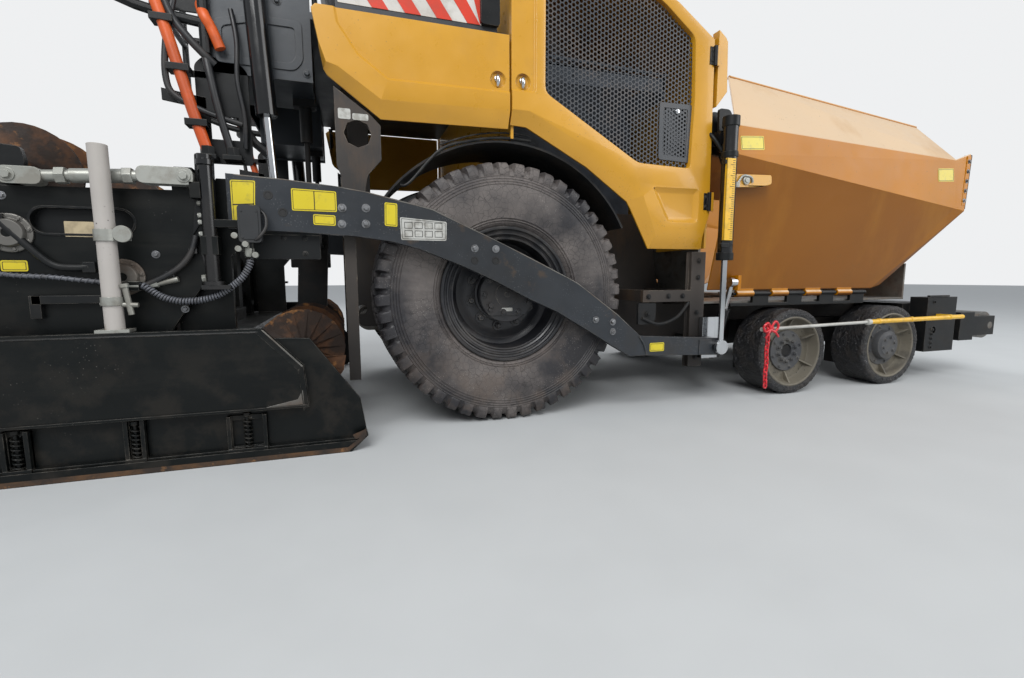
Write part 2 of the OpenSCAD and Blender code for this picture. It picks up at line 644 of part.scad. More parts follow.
module guide_rods() placed() color("#d9d9d4") both() {
    bar([1262, -guide_rod_y, 368], [1990, -guide_rod_y, 382], 8);
    bar([1985, -guide_rod_y, 382], [2740, -guide_rod_y, 390], 13);
    block([2700, 2740], [800, guide_rod_y], [380, 398]);
    for (i = [0:8]) translate([1300, -guide_rod_y, 360 - i * 32]) rotate([0, 0, i % 2 * 90])
        translate([-12, -4, -33]) cube([24, 8, 33]);
}

module levelling_cylinders() placed() color("#1d1e20") both() {
    difference() {
        translate([tow_x, -rod_y, 700]) cylinder(r = 34, h = 645);
        translate([tow_x, -rod_y, 690]) cylinder(r = rod_r + gap, h = 600);
    }
    block([hood_front_x - 8, 1075], [door_y - door_t - 3, rod_y - 28], [1230, 1290]);
}

// Tow points and arms

rod_r = 14;
rod_y = arm_y + arm_t + 17;
arm_top = [[-1025, 973], [-953, 969], [-847, 964], [-675, 949], [-575, 936], [-448, 909], [-328, 882],
    [-223, 835], [-114, 788], [38, 719], [198, 643], [289, 598], [394, 524], [485, 459], [604, 358],
    [636, 354], [1040, 330]];
arm_bottom = [[1054, 247], [631, 266], [555, 267], [461, 320], [354, 384], [200, 474], [77, 529],
    [-85, 611], [-226, 673], [-386, 733], [-485, 758], [-620, 775], [-794, 783], [-1025, 790]];
lift_lug = [-883, 862];
lift_pin = [-929, 1800];
lift_pin_r = 18;
lift_y = 750;

module tow_points() placed() color("#c4c6c8") both() {
    translate([tow_x, -rod_y, tow_z + 20]) cylinder(r = rod_r, h = 830);
    pin_y(34, arm_y + arm_t + 1, rod_y + 15, tow_x, tow_z);
    pin_y(tow_pin_r, 803, rod_y + 15, tow_x, tow_z);
    block([980, 1072], [803, arm_y - 5], [tow_z - 60, tow_z + 140]);
}

module tow_arms() placed() color("#1e1f20") both() {
    difference() {
        side_plate(arm_y, arm_y + arm_t) polygon(concat(arm_top, [[1068, 300]], arm_bottom));
        pin_y(tow_pin_r + gap, arm_y - 1, arm_y + arm_t + 1, tow_x, tow_z);
    }
    pin_y(24, lift_y + 15 + gap, arm_y, lift_lug[0], lift_lug[1]);
}

module lift_barrels() placed() color("#1c1d1f") both() {
    v = [lift_lug[0] - lift_pin[0], 0, lift_lug[1] - lift_pin[1]];
    u = v / norm(v);
    top = [lift_pin[0], -lift_y, lift_pin[1]];
    difference() {
        union() {
            bar(top + u * 30, top + u * 600, 36);
            pin_y(34, lift_y - 20, lift_y + 20, lift_pin[0], lift_pin[1]);
        }
        pin_y(lift_pin_r + gap, lift_y - 30, lift_y + 30, lift_pin[0], lift_pin[1]);
        bar(top + u * 190, top + u * 620, rod_r + gap);
    }
}

module lift_rods() placed() color("#c8cacc") both() {
    v = [lift_lug[0] - lift_pin[0], 0, lift_lug[1] - lift_pin[1]];
    u = v / norm(v);
    top = [lift_pin[0], -lift_y, lift_pin[1]];
    bar(top + u * 455, top + v, rod_r);
    pin_y(26, lift_y - 15, lift_y + 15, lift_lug[0], lift_lug[1]);
}

// Screed

ext_gap = 12;                               // gap between main screed and extension boxes
ext_front_x = main_front_x - main_depth - ext_gap;
guide_x = -1290;
guide_z = [510, 720];
gate_in = main_half + 15;
gate_y = gate_in + gate_t;

module screed_box(x_front, depth, y_in, y_out, z0)
    side_plate(y_in, y_out) polygon([[x_front - 25, z0], [x_front, z0 + 40], [x_front, screed_h - 60],
        [x_front - 50, screed_h], [x_front - depth, screed_h], [x_front - depth, z0]]);

module screed_main() placed() color("#1a1b1c") {
    screed_box(main_front_x, main_depth, -main_half, main_half, 0);
    both() {
        // upright bracket that carries the tow arm
        side_plate(815, arm_y) polygon([[-1200, screed_h - 1], [-1200, 700], [-1060, 960], [-945, 960],
            [-945, 800], [-1030, 700], [-1030, screed_h - 1]]);
        // bearing blocks of the extension's guide tubes
        for (y = [[330, 430], [700, 800]]) difference() {
            block([guide_x - 70, guide_x + 70], y, [screed_h - 1, guide_z[1] + 70]);
            for (z = guide_z) pin_y(guide_r + gap, y[0] - 1, y[1] + 1, guide_x, z);
        }
    }
    block([guide_x - 40, guide_x + 100], [-330, 330], [screed_h - 1, 462]);
}

ext_out = gate_in - 6;
plate_y = [arm_y + 20, arm_y + 45];         // inner and outer face of the extension's side plate

module screed_ext(side) placed() on_side(side) color("#1a1b1c") {
    screed_box(ext_front_x, ext_depth, 25, ext_out, 6);
    // side plate with its rounded slot
    difference() {
        side_plate(plate_y[0], plate_y[1]) polygon([[ext_front_x - ext_depth, screed_h - 1], [ext_front_x - ext_depth, 700],
            [-1640, 900], [-1180, 908], [-1180, 965], [-1085, 965], [-1085, 640], [-1220, 440],
            [ext_front_x - 30, 440], [ext_front_x - 30, screed_h - 1]]);
        hull() for (x = [-1520, -1330]) pin_y(38, plate_y[0] - 5, plate_y[1] + 5, x, 800);
    }
    for (z = guide_z) pin_y(guide_r, 60, plate_y[0] + 1, guide_x, z);
    block([ext_front_x - ext_depth, ext_front_x - 40], [60, ext_out], [screed_h - 1, 430]);
    face = plate_y[1];
    // turnbuckle on the side plate
    bar([-1560, -face - 25, 926], [-1150, -face - 25, 948], 16);
    block([-1600, -1555], [face - 1, face + 40], [900, 950]);
    block([-1160, -1110], [face - 1, face + 40], [925, 975]);
    // bolted flanges
    for (p = [[-1609, 760], [-1331, 627]]) pin_y(40, face - 1, face + 20, p[0], p[1]);
    // slide shoes of the end gate
    for (x = [-1750, -1080]) block([x, x + 60], [ext_out - 1, gate_in - gap], [120, 300]);
    // walkway behind the extension
    block([-rear_reach, ext_front_x - ext_depth], [40, ext_out], [360, 385]);
    for (y = [120, 800]) block([-rear_reach + 40, ext_front_x - ext_depth], [y, y + 40], [300, 360]);
    // sensor post on its two brackets
    block([-1120, -1090], [face - 1, face + 45], [880, 930]);
    block([-1100, -1050], [face, face + 45], [700, 760]);
    translate([-1075, -face - 25, 600]) cylinder(r = 16, h = 360);
    if (side == right) {
        // levelling sensor on the post, and the two plugs of its curly cable
        block([-1075, -984], [face + 14, face + 37], [790, 815]);
        block([-985, -921], [face + 12, face + 45], [744, 861]);
        block([curly_route[12][0] - 13, curly_route[12][0] + 13], [face + 14, face + 40], [curly_top, 745]);
        block([-1312, curly_route[0][0] - gap], [face - 1, face + 42], [584, 612]);
    }
}

module end_gate(side) placed() on_side(side) color("#191a1b") {
    side_plate(gate_in, gate_in + 15) polygon([[-1990, 0], [-1990, 410], [-850, 418], [-784, 414], [-622, 187],
        [-605, 75], [-660, 0]]);
    side_plate(gate_in + 14, gate_y) polygon([[-1970, 180], [-1970, 456], [-931, 456], [-807, 322], [-795, 177]]);
    side_plate(gate_in + 14, gate_y) polygon([[-1990, 0], [-1990, 40], [-640, 40], [-605, 75], [-600, 55],
        [-660, 0]]);
    // height screw post
    translate([-1342, -gate_y + 27, 455]) cylinder(r = 25, h = 560);
}

cable_r = 8;
cable_y = plate_y[1] + cable_r + gap;       // the cable lies on the extension's side plate
cable_a = [[-1660, -cable_y, 640], [-1600, -cable_y - 12, 632], [-1520, -cable_y - 16, 628],
    [-1440, -cable_y - 12, 618], [-1391, -cable_y, 612]];

curly_r = 12;
curly_y = plate_y[1] + 27;
curly_top = 690;
curly_route = [for (p = [[-1282, 598], [-1272, 598], [-1245, 576], [-1219, 560], [-1177, 548], [-1128, 549],
        [-1100, 554], [-1065, 566], [-1035, 584], [-1010, 604], [-985, 628], [-962, 670], [-962, curly_top - gap]])
    [p[0], -curly_y, p[1]]];

module cables() placed() color("#151617") hose(cable_a, cable_r);

module curly_cable() placed() color("#151617") hose(curly_route, curly_r);

// Augers

auger_x = -828;
auger_z = 340;
auger_y = [70, main_half - 10];

module flight(pitch_sign) {
    steps = auger_turns * 18;
    len_y = auger_y[1] - auger_y[0] - 30;
    t = 9;
    inner = (auger_shaft_r + gap) / cos(10);
    pts = [for (i = [0:steps]) let (a = i * 20 * pitch_sign, y = -auger_y[0] - 10 - i * len_y / steps)
        for (q = [[inner, 0], [auger_r, 0], [auger_r, -t], [inner, -t]])
            [q[0] * cos(a), y + q[1], q[0] * sin(a)]];
    last = 4 * steps;
    polyhedron(points = pts, faces = concat([[3, 2, 1, 0]], [[last, last + 1, last + 2, last + 3]],
        [for (i = [0:steps - 1], k = [0:3]) [4 * i + (k + 1) % 4, 4 * (i + 1) + k, 4 * i + k]],
        [for (i = [0:steps - 1], k = [0:3]) [4 * i + (k + 1) % 4, 4 * (i + 1) + (k + 1) % 4, 4 * (i + 1) + k]]));
}

module auger(side) placed() on_side(side) color("#5b4334") {
    pin_y(auger_shaft_r, auger_y[0], auger_y[1], auger_x, auger_z);
    translate([auger_x, 0, auger_z]) flight(1);
}

module auger_frame() placed() color("#1d1e1f") {
    side_plate(-50, 50) hull() {
        translate([auger_x, auger_z]) circle(r = 70);
        translate([auger_x + 40, 1000]) circle(r = 70);
    }
    block([auger_x + 40, frame_rear_x], [-200, 200], [870, 925]);
    pin_y(auger_shaft_r - 8, -auger_y[0] + gap, auger_y[0] - gap, auger_x, auger_z);
    both() {
        // height cylinders of the auger
        translate([-785, -450, 1190]) cylinder(r = 24, h = 169);
        translate([-785, -450, 800]) cylinder(r = 11, h = 400);
        block([-830, -746], [420, 480], [1330, 1360]);
        block([-830, -745], [50, 480], [770, 810]);
    }
}

hose_paths = [
    [[-1010, -640, 1360 - gap], [-1010, -640, 1330], [-1020, -650, 1280], [-1000, -655, 1200], [-960, -650, 1130], [-900, -640, 1080]],
];

module hoses() placed() color("#d8521c") for (p = hose_paths) hose(p, 16);

// Canopy

front_post_x = 110;
rear_post_x = -960;
post_y = [758, 802];                        // a post's inner and outer face
post_z = hood_z + 50;                       // lower pivots of the posts
post_pin_r = 12;

module post(x) placed() color("#222325") both() difference() {
    union() {
        block([x - 22, x + 22], post_y, [post_z, post_z + post_len]);
        for (z = [post_z, post_z + post_len]) pin_y(26, post_y[0] - 1, post_y[1] + 1, x, z);
    }
    for (z = [post_z, post_z + post_len]) pin_y(post_pin_r + gap, post_y[0] - 2, post_y[1] + 2, x, z);
}

module canopy_front_posts() post(front_post_x);

module canopy_rear_posts() post(rear_post_x);

module canopy_roof() placed() color("#d99a1a") {
    top = post_z + post_len;
    difference() {
        block([rear_post_x - 250, front_post_x + 350], [-860, 860], [top + 40, top + 40 + roof_t]);
        block([rear_post_x - 238, front_post_x + 338], [-848, 848], [top + 39, top + 40 + roof_t - 12]);
    }
    // cross rails inside the roof, over the posts
    for (x = [front_post_x, rear_post_x]) block([x - 30, x + 30], [-849, 849], [top + 40, top + 40 + roof_t - 11]);
    both() for (x = [front_post_x, rear_post_x]) {
        block([x - 30, x + 30], [post_y[0] - 18, post_y[0] - 6], [top - 28, top + 41]);
        pin_y(post_pin_r, post_y[0] - 7, post_y[1], x, top);
    }
}

frame(right);  // frame_right
frame(left);  // frame_left
chassis();
axles();
engine();
hood();
mudguards();
platform();
console();
seats();
handrails();
hopper_floor();
conveyor();
levelling_cylinders();
bumper();
guide_rods();
auger_frame();
hoses();
rear_tyre(right);  // rear_tyre_right
rear_tyre(left);  // rear_tyre_left
rear_rim(right);  // rear_rim_right
rear_rim(left);  // rear_rim_left
front_wheel(0, right);  // front_wheel_1_right
front_wheel(0, left);  // front_wheel_1_left
front_wheel(1, right);  // front_wheel_2_right
front_wheel(1, left);  // front_wheel_2_left
knuckle(0, right);  // knuckle_1_right
knuckle(0, left);  // knuckle_1_left
knuckle(1, right);  // knuckle_2_right
knuckle(1, left);  // knuckle_2_left
tow_points();
tow_arms();
screed_main();
lift_barrels();
lift_rods();
screed_ext(right);  // screed_ext_right
screed_ext(left);  // screed_ext_left
end_gate(right);  // end_gate_right
end_gate(left);  // end_gate_left
cables();
curly_cable();
auger(right);  // auger_right
auger(left);  // auger_left
service_door(right);  // service_door_right
service_door(left);  // service_door_left
grille_door(right);  // grille_door_right
grille_door(left);  // grille_door_left
grille_mesh(right);  // grille_mesh_right
grille_mesh(left);  // grille_mesh_left
wing(right);  // wing_right
wing(left);  // wing_left
wing_barrel(right);  // wing_barrel_right
wing_barrel(left);  // wing_barrel_left
wing_rod(right);  // wing_rod_right
wing_rod(left);  // wing_rod_left
roller_beam();
push_rollers();
canopy_front_posts();
canopy_rear_posts();
canopy_roof();
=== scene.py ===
import math
import random

import bmesh
import bpy
from mathutils import Matrix, Vector, noise
from mathutils.geometry import tessellate_polygon


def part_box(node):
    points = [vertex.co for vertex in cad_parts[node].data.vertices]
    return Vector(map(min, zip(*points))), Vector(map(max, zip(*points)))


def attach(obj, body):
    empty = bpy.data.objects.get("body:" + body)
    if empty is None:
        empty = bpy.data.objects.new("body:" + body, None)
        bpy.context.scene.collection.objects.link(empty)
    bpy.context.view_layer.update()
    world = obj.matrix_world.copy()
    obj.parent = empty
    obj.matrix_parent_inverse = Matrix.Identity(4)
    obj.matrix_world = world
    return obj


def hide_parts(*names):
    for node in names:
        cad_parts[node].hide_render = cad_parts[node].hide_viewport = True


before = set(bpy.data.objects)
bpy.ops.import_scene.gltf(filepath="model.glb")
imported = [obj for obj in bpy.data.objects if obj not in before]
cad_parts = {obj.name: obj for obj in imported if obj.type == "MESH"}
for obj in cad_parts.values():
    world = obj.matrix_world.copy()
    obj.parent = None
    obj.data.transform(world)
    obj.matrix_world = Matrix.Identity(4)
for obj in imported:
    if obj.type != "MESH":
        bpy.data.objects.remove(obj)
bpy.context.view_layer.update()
print("frame loaded,", len(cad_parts), "nodes")

rearAxleX = -0.5875  # every piece below is written from the rear axle, in metres
sides = {"right": 1, "left": -1}
random.seed(7)

# camera

photoView = {"place": (-1.2525, -2.811, 0.624), "turn": (82.9, 0.14, -18.66), "lens": 17.48, "sensor": 36}
cameraData = bpy.data.cameras.new("photoCamera")
cameraData.lens = photoView["lens"]
cameraData.sensor_width = photoView["sensor"]
camera = bpy.data.objects.new("photoCamera", cameraData)
camera.location = photoView["place"]
camera.rotation_euler = [math.radians(a) for a in photoView["turn"]]
bpy.context.collection.objects.link(camera)
bpy.context.scene.camera = camera
bpy.context.scene.view_settings.view_transform = "Standard"


# nodes shared by all finishes

def tint(code):
    parts = [int(code[i:i + 2], 16) / 255 for i in (1, 3, 5)]
    return [p / 12.92 if p < 0.04045 else ((p + 0.055) / 1.055) ** 2.4 for p in parts] + [1]


def addNode(tree, kind, **values):
    node = tree.nodes.new("ShaderNode" + kind)
    for key, value in values.items():
        if hasattr(node, key):
            setattr(node, key, value)
        else:
            node.inputs[key.replace("_", " ")].default_value = value
    return node


def addNoise(tree, scale, detail=4, stretch=(1, 1, 1), rough=0.55):
    coords = addNode(tree, "TexCoord")
    mapping = addNode(tree, "Mapping")
    mapping.inputs["Scale"].default_value = stretch
    texture = addNode(tree, "TexNoise", Scale=scale, Detail=detail, Roughness=rough)
    tree.links.new(coords.outputs["Object"], mapping.inputs["Vector"])
    tree.links.new(mapping.outputs[0], texture.inputs["Vector"])
    return texture.outputs[0]


def addCells(tree, scale, feature="F1"):
    coords = addNode(tree, "TexCoord")
    texture = addNode(tree, "TexVoronoi", feature=feature, Scale=scale)
    tree.links.new(coords.outputs["Object"], texture.inputs["Vector"])
    return texture.outputs["Distance"]


def remap(tree, value, low, high, toLow=0, toHigh=1):
    node = addNode(tree, "MapRange")
    for i, v in enumerate((low, high, toLow, toHigh), 1):
        node.inputs[i].default_value = v
    tree.links.new(value, node.inputs[0])
    return node.outputs[0]


def combine(tree, how, a, b):
    node = addNode(tree, "Math", operation=how)
    node.use_clamp = how in ("MULTIPLY", "ADD", "SUBTRACT")
    for i, v in enumerate((a, b)):
        if isinstance(v, (int, float)):
            node.inputs[i].default_value = v
        else:
            tree.links.new(v, node.inputs[i])
    return node.outputs[0]


def blendColours(tree, amount, a, b):
    node = addNode(tree, "Mix", data_type="RGBA")
    for socket, v in ((0, amount), (6, a), (7, b)):
        if isinstance(v, (int, float, list)):
            node.inputs[socket].default_value = v
        else:
            tree.links.new(v, node.inputs[socket])
    return node.outputs[2]


def axisValue(tree, source, axis):
    kind, output = source
    split = addNode(tree, "SeparateXYZ")
    tree.links.new(addNode(tree, kind).outputs[output], split.inputs[0])
    return split.outputs[axis]


# where a layer of dirt, wear, painted shade or painted highlight lies
def layerMask(tree, layer):
    where, amount = layer["where"], layer.get("amount", 1)
    scale = layer.get("scale", 6)
    # under: faces that look down, used for painted shade
    if where == "under":
        mask = remap(tree, axisValue(tree, ("NewGeometry", "Normal"), 2), layer.get("from", 0.02),
            layer.get("to", -0.3))
    # top: faces that look up, used for a painted sky highlight
    elif where == "top":
        mask = remap(tree, axisValue(tree, ("NewGeometry", "Normal"), 2), layer.get("from", 0.2),
            layer.get("to", 0.9))
    elif where == "low":
        mask = remap(tree, axisValue(tree, ("TexCoord", "Object"), 2), layer["to"], layer["from"], 1, 0)
    elif where == "edges":
        bevel = addNode(tree, "Bevel", samples=4, Radius=layer.get("width", 0.004))
        plain = addNode(tree, "NewGeometry")
        dot = addNode(tree, "VectorMath", operation="DOT_PRODUCT")
        tree.links.new(bevel.outputs[0], dot.inputs[0])
        tree.links.new(plain.outputs["Normal"], dot.inputs[1])
        mask = remap(tree, dot.outputs["Value"], 0.985, 0.86)
    elif where == "cracks":
        mask = remap(tree, addCells(tree, scale, "DISTANCE_TO_EDGE"), 0.05, 0.0)
    elif where == "specks":
        mask = remap(tree, addCells(tree, scale), layer.get("size", 0.2), layer.get("size", 0.2) * 0.6)
    else:
        mask = 1
    noisy = layer.get("noise")
    if noisy:
        spread = addNoise(tree, noisy, layer.get("detail", 5), layer.get("stretch", (1, 1, 1)), 0.62)
        spread = remap(tree, spread, layer.get("low", 0.48), layer.get("high", 0.62))
        mask = combine(tree, "MULTIPLY", mask, spread)
    return combine(tree, "MULTIPLY", mask, amount)


# a mottled finish in layers of dirt and wear, and on the yellow paints painted shade and a painted highlight
def wornAndPaintedLightFinish(name, s):
    made = bpy.data.materials.new(name)
    made.use_nodes = True
    tree = made.node_tree
    shader = tree.nodes["Principled BSDF"]
    spread = remap(tree, addNoise(tree, s.get("mottle", 3)), 0.35, 0.65)
    colour = blendColours(tree, spread, tint(s["colour"]), tint(s["second"]))
    rough = remap(tree, addNoise(tree, s.get("mottle", 3) * 4, 5), 0.3, 0.7,
        s["rough"] - s.get("uneven", 0.07), s["rough"] + s.get("uneven", 0.07))
    for layer in s.get("layers", ()):
        mask = layerMask(tree, layer)
        colour = blendColours(tree, mask, colour, tint(layer["colour"]))
        if "rough" in layer:
            mix = addNode(tree, "Mix")
            tree.links.new(mask, mix.inputs[0])
            tree.links.new(rough, mix.inputs[2])
            mix.inputs[3].default_value = layer["rough"]
            rough = mix.outputs[0]
    tree.links.new(colour, shader.inputs["Base Color"])
    tree.links.new(rough, shader.inputs["Roughness"])
    shader.inputs["Metallic"].default_value = s.get("metal", 0)
    shader.inputs["Specular IOR Level"].default_value = s.get("specular", 0.5)
    shader.inputs["Coat Weight"].default_value = s.get("coat", 0)
    shader.inputs["Coat Roughness"].default_value = s.get("coatRough", 0.1)
    shader.inputs["Sheen Weight"].default_value = s.get("sheen", 0)
    normal = None
    if s.get("edge"):
        rounded = addNode(tree, "Bevel", samples=6, Radius=s["edge"])
        normal = rounded.outputs[0]
    for scale, strength, depth in s.get("bumps", ()):
        bump = addNode(tree, "Bump", Strength=strength, Distance=depth)
        tree.links.new(addNoise(tree, scale, 6), bump.inputs["Height"])
        if normal:
            tree.links.new(normal, bump.inputs["Normal"])
        normal = bump.outputs[0]
    if normal:
        tree.links.new(normal, shader.inputs["Normal"])
    return made


